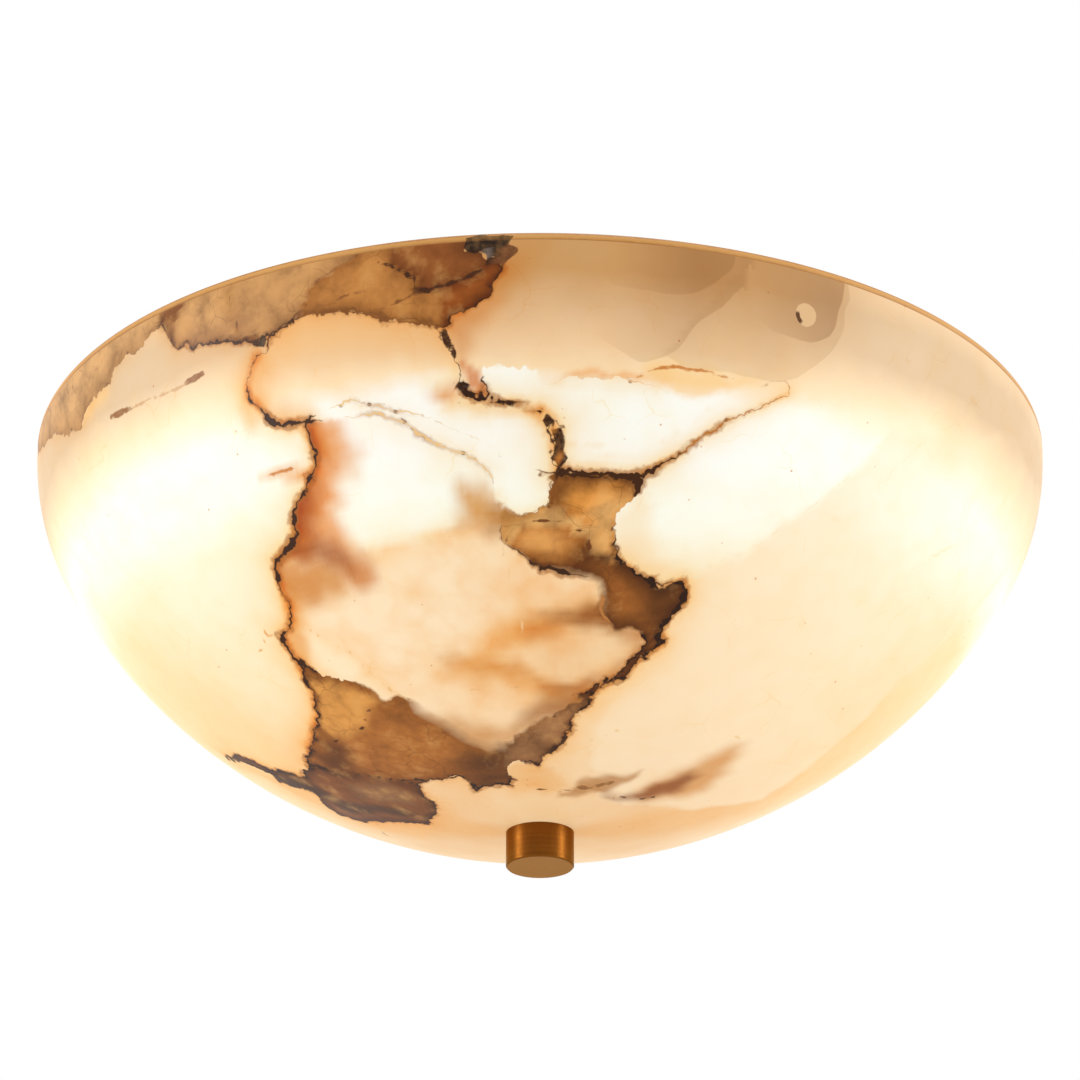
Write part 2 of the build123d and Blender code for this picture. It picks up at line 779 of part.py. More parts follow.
# Supply leads: wire nut, over the nipple's lip, down its bore, out of the coupler's window

lead_top = -6.5
lead_crest = -7.6
lead_approach = 5.0
nipple_place = {"line": (-1.13, -0.65), "neutral": (1.13, -0.65), "earth": (0.0, 1.3)}
window_middle = chamber_floor + edge_break + coupler_window_height / 2
lower_exit = window_middle - 2.0
upper_exit = window_middle + 1.5
window_height = {"line": lower_exit, "neutral": lower_exit, "earth": upper_exit}
barrel_end = barrel_start + terminal_stop
gland_end = driver_left - gland_length + gland_depth
canopy_route = {
    "line": (-12.5, 9.2, lead_crest),
    "neutral": (12.5, 9.2, lead_crest),
    "earth": (-0.2, 14.5, lead_crest),
}
pan_route = {
    "line": [
        (-1.1, 20.5, lower_exit),
        (-8.5, 40.0, -69.4),
        (-20.0, 58.0, -68.2),
        (-18.5, input_glands[1], lead_height),
    ],
    "neutral": [
        (1.1, 21.5, lower_exit),
        (-4.0, 39.0, -67.2),
        (-13.5, 55.0, -66.4),
        (-12.5, input_glands[0], lead_height),
    ],
    "earth": [
        (0.0, 21.3, upper_exit),
        (-8.5, 32.5, -56.0),
        (-21.5, terminal_y, barrel_height),
    ],
}
lead_ends = {
    "line": (gland_end, input_glands[1], lead_height),
    "neutral": (gland_end, input_glands[0], lead_height),
    "earth": (barrel_end, terminal_y, barrel_height),
}
for wire, ((mouth_x, mouth_y), heading) in wire_nuts.items():
    x, y = nipple_place[wire]
    route = [
        (mouth_x + wire_nut_socket * heading[0], mouth_y + wire_nut_socket * heading[1], nut_height),
        (mouth_x - lead_approach * heading[0], mouth_y - lead_approach * heading[1], nut_height),
        canopy_route[wire],
        (x, y, lead_top),
        (x, y, window_height[wire]),
        *pan_route[wire],
        lead_ends[wire],
    ]
    finish(lead(f"{wire}_lead", route, supply_lead_radius), f"{wire}_lead")

# Output leads: driver, through the grommet, to the connector on the ring board

connector_face = connector_ring_radius - connector_size[0] / 2
connector_height = board_bottom - connector_size[2] / 2
output_start = driver_right + gland_length - gland_depth
for colour, side, gland_y, crest in (
    ("red", 1, output_glands[1], -66.0),
    ("black", -1, output_glands[0], -67.5),
):
    across = (side * output_lead_spread * outward[1], -side * output_lead_spread * outward[0])
    drop_x = grommet_place[0] + across[0]
    drop_y = grommet_place[1] + across[1]
    end_x = connector_face * outward[0] + across[0]
    end_y = connector_face * outward[1] + across[1]
    bend_x = driver_right + output_lead_run + side * output_lead_pitch
    route = [
        (output_start, gland_y, lead_height),
        (bend_x, gland_y, lead_height),
        (bend_x + 2.0, driver_y - 18.0, crest - 0.8),
        (drop_x, drop_y, crest),
        (drop_x, drop_y, connector_height),
        (end_x, end_y, connector_height),
    ]
    finish(lead(f"output_lead_{colour}", route, output_lead_radius), f"output_lead_{colour}")

# Stop inside the bowl: nut, washer and soft gasket on the rod

finish(
    flat_ring(seat_gasket_radius, rod_radius + hole_clearance, inner_seat + seat_gasket_thickness,
              seat_gasket_thickness),
    "seat_gasket",
)
seat_washer_top = inner_seat + seat_gasket_thickness + seat_washer_thickness
finish(
    flat_ring(seat_washer_radius, rod_radius + thread_clearance, seat_washer_top, seat_washer_thickness),
    "seat_washer",
)
finish(
    hexagon_nut(rod_nut_size, rod_radius + thread_clearance, seat_washer_top + rod_nut_size[1]),
    "seat_nut",
)

# Bowl: the base arc is tangent to the shoulder arc and closes on the axis at the bowl's depth

arc_depth = bowl_depth - rim_land
shoulder_centre = bowl_radius - shoulder_radius
base_rise = arc_depth - shoulder_radius
base_radius = (shoulder_centre**2 + arc_depth**2 - shoulder_radius**2) / (2 * base_rise)
shoulder_turn = degrees(acos(shoulder_centre / (base_radius - shoulder_radius)))
base_centre = bowl_bottom + base_radius
land_height = rim_height - rim_land

with BuildPart() as stone_bowl:
    with BuildSketch(Plane.XZ) as wall:
        with BuildLine():
            Line((bowl_radius - stone_wall, rim_height), (bowl_radius, rim_height))
            Line((bowl_radius, rim_height), (bowl_radius, land_height))
            CenterArc((shoulder_centre, land_height), shoulder_radius, 0, -shoulder_turn)
            CenterArc((0, base_centre), base_radius, -90, 90 - shoulder_turn)
            Line((0, bowl_bottom), (0, bowl_bottom + stone_wall))
            CenterArc((0, base_centre), base_radius - stone_wall, -90, 90 - shoulder_turn)
            CenterArc((shoulder_centre, land_height), shoulder_radius - stone_wall, 0, -shoulder_turn)
            Line((bowl_radius - stone_wall, land_height), (bowl_radius - stone_wall, rim_height))
        make_face()
        fillet(wall.vertices().group_by(Axis.Y)[-1], rim_edge)
    revolve()
    with BuildSketch(Plane.XY.offset(bowl_bottom)):
        Circle(finial_radius + hole_clearance)
    extrude(amount=outer_seat_depth, mode=Mode.SUBTRACT)
    with BuildSketch(Plane.XY.offset(inner_seat)):
        Circle(seat_gasket_radius + 2 * hole_clearance)
    extrude(amount=stone_wall, mode=Mode.SUBTRACT)
    with BuildSketch(Plane.XY.offset(bowl_bottom)):
        Circle(stone_hole_radius)
    extrude(amount=2 * stone_wall, mode=Mode.SUBTRACT)
finish(stone_bowl.part, "stone_bowl")
finish(
    flat_ring(sleeve_radius, sleeve_bore, inner_seat - sleeve_gap,
              inner_seat - outer_seat - 2 * sleeve_gap),
    "bore_sleeve",
)

# Finial: a plain turned cylinder, tapped for the rod, with a recess that hides its gasket

finish(
    flat_ring(finial_gasket_radius, rod_radius + hole_clearance, outer_seat, finial_gasket_thickness),
    "finial_gasket",
)
with BuildPart() as finial:
    with BuildSketch(Plane.XY.offset(finial_bottom)):
        Circle(finial_radius)
    extrude(amount=outer_seat - finial_gap - finial_bottom)
    chamfer(finial.edges().group_by(Axis.Z)[0], finial_chamfer)
    with BuildSketch(Plane.XY.offset(gasket_floor)):
        Circle(finial_recess_radius)
    extrude(amount=finial_gasket_thickness, mode=Mode.SUBTRACT)
    with BuildSketch(Plane.XY.offset(gasket_floor)):
        Circle(rod_radius + thread_clearance)
    extrude(amount=-finial_hole_depth, mode=Mode.SUBTRACT)
finish(finial.part, "finial")
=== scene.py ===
from math import asin, cos, pi, radians, sin, tau

import bmesh
import bpy
import numpy as np
from mathutils import Matrix, Vector


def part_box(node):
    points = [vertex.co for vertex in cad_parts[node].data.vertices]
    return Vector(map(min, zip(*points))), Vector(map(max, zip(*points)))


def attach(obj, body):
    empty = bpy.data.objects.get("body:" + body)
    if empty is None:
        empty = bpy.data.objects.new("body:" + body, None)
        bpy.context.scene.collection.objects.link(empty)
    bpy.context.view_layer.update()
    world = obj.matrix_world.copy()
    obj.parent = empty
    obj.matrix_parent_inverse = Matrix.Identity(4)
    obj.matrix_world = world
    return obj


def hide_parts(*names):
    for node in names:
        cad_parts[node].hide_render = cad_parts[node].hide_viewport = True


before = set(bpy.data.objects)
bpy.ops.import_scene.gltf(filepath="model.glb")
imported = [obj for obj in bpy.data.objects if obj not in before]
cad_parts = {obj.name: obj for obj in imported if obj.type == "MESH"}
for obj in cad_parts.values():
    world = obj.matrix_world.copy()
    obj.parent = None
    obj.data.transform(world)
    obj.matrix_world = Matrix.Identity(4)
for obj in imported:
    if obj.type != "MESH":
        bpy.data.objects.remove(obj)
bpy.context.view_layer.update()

# A stone bowl lit from inside by a round light engine, on a brass finial. Metres, +Z up, ceiling at z = 0.

# Sizes of the bowl's two tangent arcs, wall, rim and seats
bowl_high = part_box("stone_bowl")[1]
bowl_radius = bowl_high.x
rim_height = bowl_high.z
bowl_depth = 0.1545
shoulder_radius = 0.090
rim_land = 0.0018
rim_edge = 0.0015
stone_wall = 0.012
bore_radius = 0.0069
outer_seat_radius = 0.01365
inner_seat_radius = 0.0138
outer_seat = rim_height - bowl_depth + 0.0006
inner_seat = rim_height - bowl_depth + stone_wall - 0.0005

arc_depth = bowl_depth - rim_land
shoulder_centre = bowl_radius - shoulder_radius
base_rise = arc_depth - shoulder_radius
base_radius = (shoulder_centre**2 + arc_depth**2 - shoulder_radius**2) / (2 * base_rise)
base_centre = rim_height - bowl_depth + base_radius
land_height = rim_height - rim_land
tangent_turn = asin(shoulder_centre / (base_radius - shoulder_radius))
tangent_height = base_centre - base_radius * cos(tangent_turn)
rim_run = base_radius * tangent_turn + shoulder_radius * (pi / 2 - tangent_turn) + rim_land

# Edges that turn by more than this are sharp
sharp_angle = radians(35)

# The photograph's camera, fitted to the bowl's outline
photo_size = 1080
focal_pixels = 3500.0
sensor_width = 36.0
camera_rise = radians(24.13)
camera_back = 1.2915
camera_drop = 0.6076

# Distances from the camera at which its sight lines are tried against the bowl
nearest_reach = 0.9
farthest_reach = 1.6
reach_steps = 2801

# The mesh of the stone
turns_around = 480
base_rings = 64
shoulder_rings = 52
edge_rings = 6
inner_shoulder_rings = 30
inner_base_rings = 36
rim_land_run = 0.004


class Value:
    """A socket that takes part in Python expressions; each operation adds its Math node."""

    def __init__(self, finish, socket):
        self.finish = finish
        self.socket = socket

    def maths(self, operation, *others):
        values = {i: other for i, other in enumerate((self, *others))}
        return self.finish.node("ShaderNodeMath", {"operation": operation}, values)[0]

    def __add__(self, other):
        return self.maths("ADD", other)

    def __radd__(self, other):
        return self.maths("ADD", other)

    def __sub__(self, other):
        return self.maths("SUBTRACT", other)

    def __rsub__(self, other):
        return self.finish.number(other).maths("SUBTRACT", self)

    def __mul__(self, other):
        return self.maths("MULTIPLY", other)

    def __rmul__(self, other):
        return self.maths("MULTIPLY", other)

    def __truediv__(self, other):
        return self.maths("DIVIDE", other)

    def __rtruediv__(self, other):
        return self.finish.number(other).maths("DIVIDE", self)

    def __abs__(self):
        return self.maths("ABSOLUTE")

    def power(self, exponent):
        return self.maths("POWER", exponent)

    def at_least(self, other):
        return self.maths("MAXIMUM", other)

    def at_most(self, other):
        return self.maths("MINIMUM", other)

    def clamped(self):
        return self.at_least(0.0).at_most(1.0)

    def rising(self, low, high):
        """0 below low, 1 above high, and smooth between them."""
        values = {0: self, 1: low, 2: high}
        return self.finish.node("ShaderNodeMapRange", {"interpolation_type": "SMOOTHSTEP"}, values)[0]


class Finish:
    """One material, or the world: its nodes, and the ways to add to them."""

    def __init__(self, owner):
        owner.use_nodes = True
        self.owner = owner
        self.tree = owner.node_tree
        self.tree.nodes.clear()

    def node(self, kind, settings=None, values=None):
        """Adds a node; returns its outputs that are in use, as values."""
        made = self.tree.nodes.new(kind)
        for name, setting in (settings or {}).items():
            if name == "stops":
                fill_ramp(made.color_ramp, setting)
            else:
                setattr(made, name, setting)
        for key, value in (values or {}).items():
            if isinstance(value, Value):
                self.tree.links.new(value.socket, made.inputs[key])
            else:
                made.inputs[key].default_value = value
        return [Value(self, socket) for socket in made.outputs if socket.enabled]

    def number(self, value):
        return self.node("ShaderNodeMath", {"operation": "ADD"}, {0: value, 1: 0.0})[0]

    def place(self):
        """Where a point is on its piece, in metres."""
        return self.node("ShaderNodeTexCoord")[3]

    def split(self, vector):
        return self.node("ShaderNodeSeparateXYZ", values={0: vector})

    def noise(self, size, detail=3.0, roughness=0.55, place=None, stretch=None):
        """Noise from 0 to 1 with lumps of about that size in metres."""
        where = place or self.place()
        if stretch:
            where = self.node("ShaderNodeVectorMath", {"operation": "MULTIPLY"}, {0: where, 1: stretch})[0]
        values = {"Vector": where, "Scale": 1.0 / size, "Detail": detail, "Roughness": roughness}
        return self.node("ShaderNodeTexNoise", {"noise_dimensions": "3D"}, values)[0]

    def cells(self, size, place=None, feature="F1"):
        """Distance to the nearest of many scattered points, in cell sizes."""
        values = {"Vector": place or self.place(), "Scale": 1.0 / size}
        return self.node("ShaderNodeTexVoronoi", {"feature": feature}, values)[0]

    def shaken(self, size, amount):
        """Places pushed about by noise, so that lines drawn on them wander."""
        values = {"Vector": self.place(), "Scale": 1.0 / size, "Detail": 2.0}
        push = self.node("ShaderNodeTexNoise", {"noise_dimensions": "3D"}, values)[1]
        by = {0: push, 1: (amount, amount, amount), 2: self.place()}
        return self.node("ShaderNodeVectorMath", {"operation": "MULTIPLY_ADD"}, by)[0]

    def cracks(self, size, place):
        """Distance in millimetres to the nearest of many hair cracks, this far apart."""
        return self.cells(size, place, "DISTANCE_TO_EDGE") * (size * 1000)

    def distance(self, spot):
        """Distance in millimetres to one spot of the piece."""
        ends = {0: self.place(), 1: spot}
        return self.node("ShaderNodeVectorMath", {"operation": "DISTANCE"}, ends)[0] * 1000

    def ramp(self, value, stops):
        return self.node("ShaderNodeValToRGB", {"stops": stops}, {0: value})[0]

    def blend(self, share, first, second, way="MIX"):
        """Colours mixed by share: first at 0, second at 1."""
        settings = {"data_type": "RGBA", "blend_type": way}
        return self.node("ShaderNodeMix", settings, {0: share, 6: first, 7: second})[0]

    def bump(self, height, distance, strength=1.0, normal=None):
        values = {"Height": height, "Distance": distance, "Strength": strength}
        if normal:
            values["Normal"] = normal
        return self.node("ShaderNodeBump", values=values)[0]

    def surface(self, **sockets):
        """Ends the material in one Principled shader."""
        values = {name.replace("_", " "): value for name, value in sockets.items()}
        shader = self.node("ShaderNodeBsdfPrincipled", values=values)[0]
        self.node("ShaderNodeOutputMaterial", values={"Surface": shader})
        return self.owner


def fill_ramp(ramp, stops):
    """Gives a colour ramp its stops, from place to colour."""
    while len(ramp.elements) > 1:
        ramp.elements.remove(ramp.elements[-1])
    for i, (place, colour) in enumerate(stops):
        stop = ramp.elements[0] if i == 0 else ramp.elements.new(place)
        stop.position = place
        stop.color = colour


def linear(red, green, blue):
    """A colour as the screen shows it, 0 to 255, in the renderer's own scale."""
    parts = [c / 255 / 12.92 if c <= 10 else ((c / 255 + 0.055) / 1.055) ** 2.4 for c in (red, green, blue)]
    return (*parts, 1.0)


def new_finish(name):
    return Finish(bpy.data.materials.new(name))


def to_piece(name, mesh, material, body):
    """Makes a mesh an object of the light, finished and riding on its body."""
    piece = bpy.data.objects.new(name, mesh)
    bpy.context.scene.collection.objects.link(piece)
    mesh.polygons.foreach_set("use_smooth", [True] * len(mesh.polygons))
    mesh.set_sharp_from_angle(angle=sharp_angle)
    mesh.materials.append(material)
    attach(piece, body)
    return piece


# Map of the stone: each point of the bowl has a place on a flat sheet, as far from the sheet's middle as the
# run along the outside from the bowl's lowest point, and in the same direction. In millimetres.

def outside_radius(height):
    """The bowl's outer radius at heights; above the rim the wall is taken on straight up."""
    base = np.sqrt(np.maximum(base_radius**2 - (height - base_centre) ** 2, 0))
    shoulder = shoulder_centre + np.sqrt(np.maximum(shoulder_radius**2 - (height - land_height) ** 2, 0))
    lower = np.where(height < tangent_height, base, shoulder)
    return np.where(height > land_height, bowl_radius, lower)


def outside_run(height):
    """The run along the outside from the lowest point up to heights."""
    base = base_radius * np.arccos(np.clip((base_centre - height) / base_radius, -1, 1))
    turn = np.arccos(np.clip((land_height - height) / shoulder_radius, 0, 1)) - tangent_turn
    shoulder = base_radius * tangent_turn + shoulder_radius * turn
    lower = np.where(height < tangent_height, base, shoulder)
    return np.where(height > land_height, shoulder + height - land_height, lower)


def on_map(x, y, run):
    """Places on the map, in millimetres, from directions and runs."""
    angle = np.arctan2(x, -y)
    return np.stack([run * np.sin(angle), run * np.cos(angle)], axis=-1) * 1000


def met_by(points):
    """Where the sight lines of points of the photograph meet the bowl."""
    pixels = np.array([p[:2] for p in points], float)
    ahead = np.array([0, cos(camera_rise), sin(camera_rise)])
    up = np.array([0, -sin(camera_rise), cos(camera_rise)])
    across = (pixels[:, :1] - photo_size / 2) / focal_pixels
    along = (photo_size / 2 - pixels[:, 1:2]) / focal_pixels
    sight = ahead + across * np.array([1.0, 0, 0]) + along * up
    reach = np.linspace(nearest_reach, farthest_reach, reach_steps)
    camera = np.array([0, -camera_back, rim_height - camera_drop])
    path = camera + reach[None, :, None] * sight[:, None, :]
    outside = np.hypot(path[..., 0], path[..., 1]) - outside_radius(path[..., 2])
    outside = np.where(path[..., 2] < rim_height - bowl_depth, 1.0, outside)
    hit = np.where((outside < 0).any(axis=1), (outside < 0).argmax(axis=1), outside.argmin(axis=1))
    return path[np.arange(len(hit)), hit]


def from_photo(points):
    """Places on the map of points of the photograph."""
    spots = met_by(points)
    return on_map(spots[:, 0], spots[:, 1], outside_run(spots[:, 2]))


def edge_distances(places, outline, closed):
    """Distance from each place to each edge of an outline, how far along it, and on which side."""
    starts = outline if closed else outline[:-1]
    ends = np.roll(outline, -1, axis=0) if closed else outline[1:]
    edge = ends - starts
    length = np.maximum((edge**2).sum(axis=1), 1e-9)
    offset = places[:, None, :] - starts[None]
    along = np.clip((offset * edge).sum(axis=2) / length, 0, 1)
    gap = offset - along[..., None] * edge
    side = edge[:, 0] * offset[..., 1] - edge[:, 1] * offset[..., 0]
    return np.sqrt((gap**2).sum(axis=2)), along, side


def is_inside(places, outline):
    """Whether places lie inside a closed outline, by counting crossings."""
    inside = np.zeros(len(places), bool)
    for (x1, y1), (x2, y2) in zip(outline, np.roll(outline, -1, axis=0)):
        if y1 == y2:
            continue
        crosses = (y1 > places[:, 1]) != (y2 > places[:, 1])
        at = x1 + (places[:, 1] - y1) / (y2 - y1) * (x2 - x1)
        inside ^= crosses & (places[:, 0] < at)
    return inside


# Outlines of the stone's pattern, read from the photograph, in its pixels

far_left_plates = [
    (38.6, 452.6), (45.8, 442), (49, 437), (55.5, 432), (60.7, 433), (63.3, 435), (68.5, 433), (76, 429),
    (83, 426.6), (81, 422.7), (84, 412), (89, 403), (97, 394), (109, 385), (111.5, 383), (111.5, 376),
    (114, 365), (120.6, 359), (129.7, 353), (140, 349), (144, 343), (149, 334), (157, 327), (158, 324.5),
    (160.3, 320.6), (150, 290), (90, 330), (36, 390), (30, 440)]
amber_fan = [(81, 425), (85, 411), (97, 394), (109, 385.6), (107, 395), (98.5, 406), (93, 416), (88, 423)]
dark_wedge = [
    (157, 316), (159, 321), (166, 330), (174, 342), (177, 346.6), (176, 336), (180, 325), (186, 314),
    (193, 299), (198, 280), (160, 290)]
first_plate = [
    (184, 280), (180, 297), (174, 311), (170, 322.5), (169, 332), (177, 346.6), (188, 343), (191, 346),
    (193, 346.6), (202, 343.5), (212, 342), (222, 341), (230, 342), (236, 340.5), (241, 336.7), (243, 337),
    (239, 332), (234, 318), (231, 306), (230, 297), (230, 255)]
second_plate = [
    (230, 255), (230, 297), (231, 306), (234, 318), (239, 332), (243, 337), (257, 335), (269, 336),
    (278, 330), (284, 326), (293, 321), (298, 316), (302, 309), (306, 301), (310, 290), (315, 283),
    (332, 275), (339, 266), (357, 256), (357, 226)]
small_brown_cell = [(244, 337), (257, 335), (261, 336), (258, 340), (258, 344), (252, 344), (247, 341.5)]
third_plate = [
    (357, 226), (357, 256), (339, 266), (332, 275), (315, 283), (310, 290), (306, 301), (301.5, 311),
    (312, 314), (322, 313.5), (332.5, 312), (344.6, 311), (356.6, 311), (363.5, 314.4), (372, 313.5),
    (379, 317), (384, 322), (394.5, 320.4), (408, 319.5), (420, 322), (430, 324), (440, 326), (440, 312),
    (438, 298), (436, 290), (428, 291), (419, 293), (414.4, 289.5), (417, 281), (413.7, 276), (401, 271),
    (392.6, 265.7), (385.6, 246), (385, 222)]
fourth_plate = [
    (385.6, 246), (392.6, 265.7), (401, 271), (413.7, 276), (417, 281), (414.4, 289.5), (419, 293),
    (427.7, 291), (434.7, 286.7), (446, 285), (456, 282.5), (464, 279), (472.6, 275.5), (481, 270),
    (488, 263), (478, 251.6), (470, 253), (464, 250), (467, 240.4), (467, 212), (385, 220)]
fifth_plate = [
    (434, 287), (446, 286), (464, 280), (481, 272), (488, 264), (496, 262), (503.5, 268.5), (500.7, 272.7),
    (493, 279), (489, 284), (492, 291), (489, 296.6), (482, 299), (478, 301.5), (470, 306.4), (461, 312),
    (450, 315), (447, 322), (446, 326), (440, 326), (437.5, 298), (436, 289.5)]
first_knot = [
    (259, 338), (263, 335), (267, 336), (267, 341.5), (266.6, 349), (268.5, 353), (266, 352), (264.6, 348),
    (258.4, 347), (259, 342)]
second_knot = [
    (464, 250), (470, 253), (478, 251.6), (484, 251.6), (488, 263), (492, 258.7), (499, 253), (506, 246),
    (516, 234), (503.5, 232), (495, 232), (486.6, 232), (480, 230), (467, 236)]
knot_tail = [
    (503.5, 246), (512, 244), (518, 249), (513, 258.7), (505, 261), (503, 267), (494, 262), (497, 254)]
knot_glint = [(486, 250), (489, 248), (492, 254), (490, 260), (487, 257)]
second_glint = [(497, 254), (500, 256), (500, 261), (495, 259)]
second_vein = [
    (439, 327), (440, 336), (443, 340), (445, 345), (450, 352), (455, 360), (458, 367), (460, 374),
    (459, 379), (458, 386), (466, 391), (462, 381), (460, 370), (458, 360), (457, 354), (452, 343),
    (449, 336), (447, 329)]
third_knot = [
    (458, 384), (462, 380), (468, 385), (476, 392), (471, 394), (480, 398), (500, 399), (508, 403),
    (520, 403.5), (527, 405), (534, 410), (526, 407.5), (512, 408), (498, 403), (486, 400), (472, 397),
    (465, 399), (459, 403), (451, 401.5), (464, 394)]
beaded_vein = [
    (539, 411), (543, 421), (548, 429), (551, 436), (556.5, 441), (554.5, 449), (550.5, 456), (553, 463),
    (558.5, 468), (556, 474), (551, 480), (551, 484), (556, 480), (561, 472), (560, 466), (567, 463),
    (566, 455), (562.5, 447), (564.7, 439), (563, 432), (556, 422), (547, 414)]
upper_bead = [(552, 428), (558, 430), (560, 437), (556, 438), (552, 434)]
lower_bead = [(556, 452), (561, 453), (563, 460), (558, 464), (554, 458)]
first_brown_cell = [
    (552, 480), (556, 475), (562, 472), (570, 473), (580, 473), (590, 476), (605, 475), (617, 475),
    (630, 476), (638, 478), (641, 484), (638, 490), (634, 498), (626, 504), (619, 509), (613, 516),
    (615, 527), (614, 535), (616, 543), (614, 552), (615, 560), (600, 557), (592, 554), (585, 550),
    (582, 545), (586, 540), (595, 537), (597, 530), (590, 527), (582, 523), (575, 519), (565, 515),
    (556, 511), (552, 505), (551, 492)]
second_cell = [
    (509, 543), (508, 534), (515, 528), (524, 524), (535, 521), (548, 520), (560, 522), (571, 525),
    (582, 530), (588, 538), (586, 547), (592, 554), (580, 562), (572, 570), (558, 572), (552, 568),
    (545, 569), (537, 567), (530, 561), (520, 551)]
cell_shoulder = [
    (498, 504), (508, 509), (520, 517), (535, 512), (548, 505), (558, 504), (570, 511), (590, 522),
    (600, 532), (592, 544), (576, 536), (560, 530), (540, 530), (524, 534), (511, 546), (500, 536),
    (503, 518)]
dark_patch = [
    (592, 553), (600, 555), (608, 557), (615, 560), (620, 563), (627, 567), (632, 571), (637, 575),
    (645, 579), (653, 580), (656, 584), (653, 589), (657, 590), (664, 588), (672, 586), (678, 583),
    (683, 583), (684, 592), (684, 601), (680, 607), (672, 612), (667, 620), (662, 625), (658, 632),
    (659, 638), (666, 642), (656, 648), (645, 652), (640, 655), (646, 658), (636, 660), (631, 668),
    (627, 675), (618, 680), (608, 681), (600, 687), (597, 690), (590, 694), (583, 699), (588, 704),
    (582, 699), (575, 695.5), (585, 693), (590, 690), (597, 686), (606, 679), (612, 677), (620, 672),
    (627, 664), (633, 657), (642, 650), (646, 643), (643, 636), (640, 631), (630, 628), (616, 629),
    (608, 621), (597, 610), (603, 605), (604, 600), (602, 590), (601, 582), (590, 577), (575, 574),
    (566, 570), (575, 563), (580, 560)]
smoke_wedge = [
    (589, 703), (583, 706), (575, 713), (570, 720), (571, 727), (566, 730), (566, 738), (560, 742),
    (555, 748), (547, 750), (545, 755), (541, 760), (538, 766), (530, 761), (520, 761), (510, 764),
    (504, 768), (502, 752), (510, 745), (514, 740), (522, 733), (530, 728), (536, 722), (545, 718),
    (555, 715), (565, 709), (575, 704), (583, 701)]
brown_field = [
    (301, 662), (310, 668), (317, 672), (322, 675), (330, 678), (340, 680), (350, 682), (360, 684),
    (367, 686), (373, 690), (379, 697), (387, 702), (395, 698), (402, 697), (411, 700), (416, 705),
    (420, 712), (430, 717), (440, 722), (455, 731), (470, 741), (490, 747), (508, 743), (504, 752),
    (504, 768), (512, 778), (510, 785), (500, 784), (492, 785), (487, 786), (477, 791), (474, 786),
    (470, 781), (463, 776), (455, 775), (448, 777), (440, 779), (425, 781), (418, 783), (400, 780),
    (380, 777), (360, 774), (350, 775), (330, 771), (318, 765), (313, 765), (306, 757), (313, 753),
    (311, 746), (315, 741), (315, 733), (319, 727), (320, 722), (319, 714), (317, 708), (315, 700),
    (316, 695), (310, 685), (306, 681), (304, 672)]
dark_drift = [
    (226, 756), (234, 758), (237, 754), (247, 758), (256, 762), (267, 769), (277, 771), (288, 773),
    (296, 776), (306, 778), (303, 770), (309, 771), (315, 764), (322, 762), (326, 770), (335, 772),
    (350, 775), (365, 774), (380, 778), (395, 781), (410, 782), (420, 785), (420, 792), (426, 797),
    (433, 802), (438, 808), (437, 813), (430, 819), (427, 824), (415, 822), (400, 822), (385, 822),
    (375, 821), (362, 821), (350, 818), (340, 815), (330, 808), (322, 802), (320, 796), (312, 790),
    (300, 788), (290, 785), (278, 781), (274, 774), (262, 770), (250, 764), (240, 761), (228, 760)]
third_red_patch = [
    (296, 533), (308, 535), (320, 537), (332, 541), (345, 547), (357, 551), (364, 556), (370, 563),
    (376, 573), (378, 582), (372, 588), (360, 589), (350, 583), (345, 575), (335, 568), (325, 562),
    (312, 560), (303, 558), (290, 558), (280, 562), (274, 567), (278, 560), (283, 556), (287, 549),
    (294, 546), (294, 541)]

middle_stone = [
    (301, 422), (306, 428), (310, 436), (310, 440), (313, 447), (316, 453), (317, 463), (318, 466),
    (314, 471), (309, 477), (309, 482), (307, 491), (303, 498), (299, 500), (298, 506), (294, 513),
    (294, 519), (296, 529), (297, 532), (296, 535), (294, 541), (294, 546), (287, 549), (285, 551),
    (283, 556), (278, 560), (275, 567), (278, 573), (280, 580), (282, 592), (288, 601), (292, 612),
    (292, 620), (291, 628), (285, 634), (281, 637), (286, 644), (290, 650), (294, 656), (299, 660),
    (301, 667), (304, 672), (306, 681), (310, 685), (316, 695), (315, 700), (317, 708), (320, 722),
    (315, 733), (315, 741), (311, 746), (313, 753), (306, 757), (313, 765), (330, 771), (360, 774),
    (400, 780), (440, 779), (463, 776), (477, 790), (490, 785), (510, 785), (512, 778), (504, 768),
    (520, 761), (538, 766), (545, 755), (555, 748), (566, 738), (571, 727), (570, 720), (575, 713),
    (589, 703), (583, 699), (597, 690), (608, 681), (627, 675), (636, 660), (656, 648), (658, 632),
    (672, 612), (684, 601), (683, 583), (656, 584), (645, 579), (627, 567), (615, 560), (616, 543),
    (613, 516), (626, 504), (641, 484), (630, 476), (590, 476), (556, 475), (530, 470), (480, 440),
    (420, 415), (350, 400)]
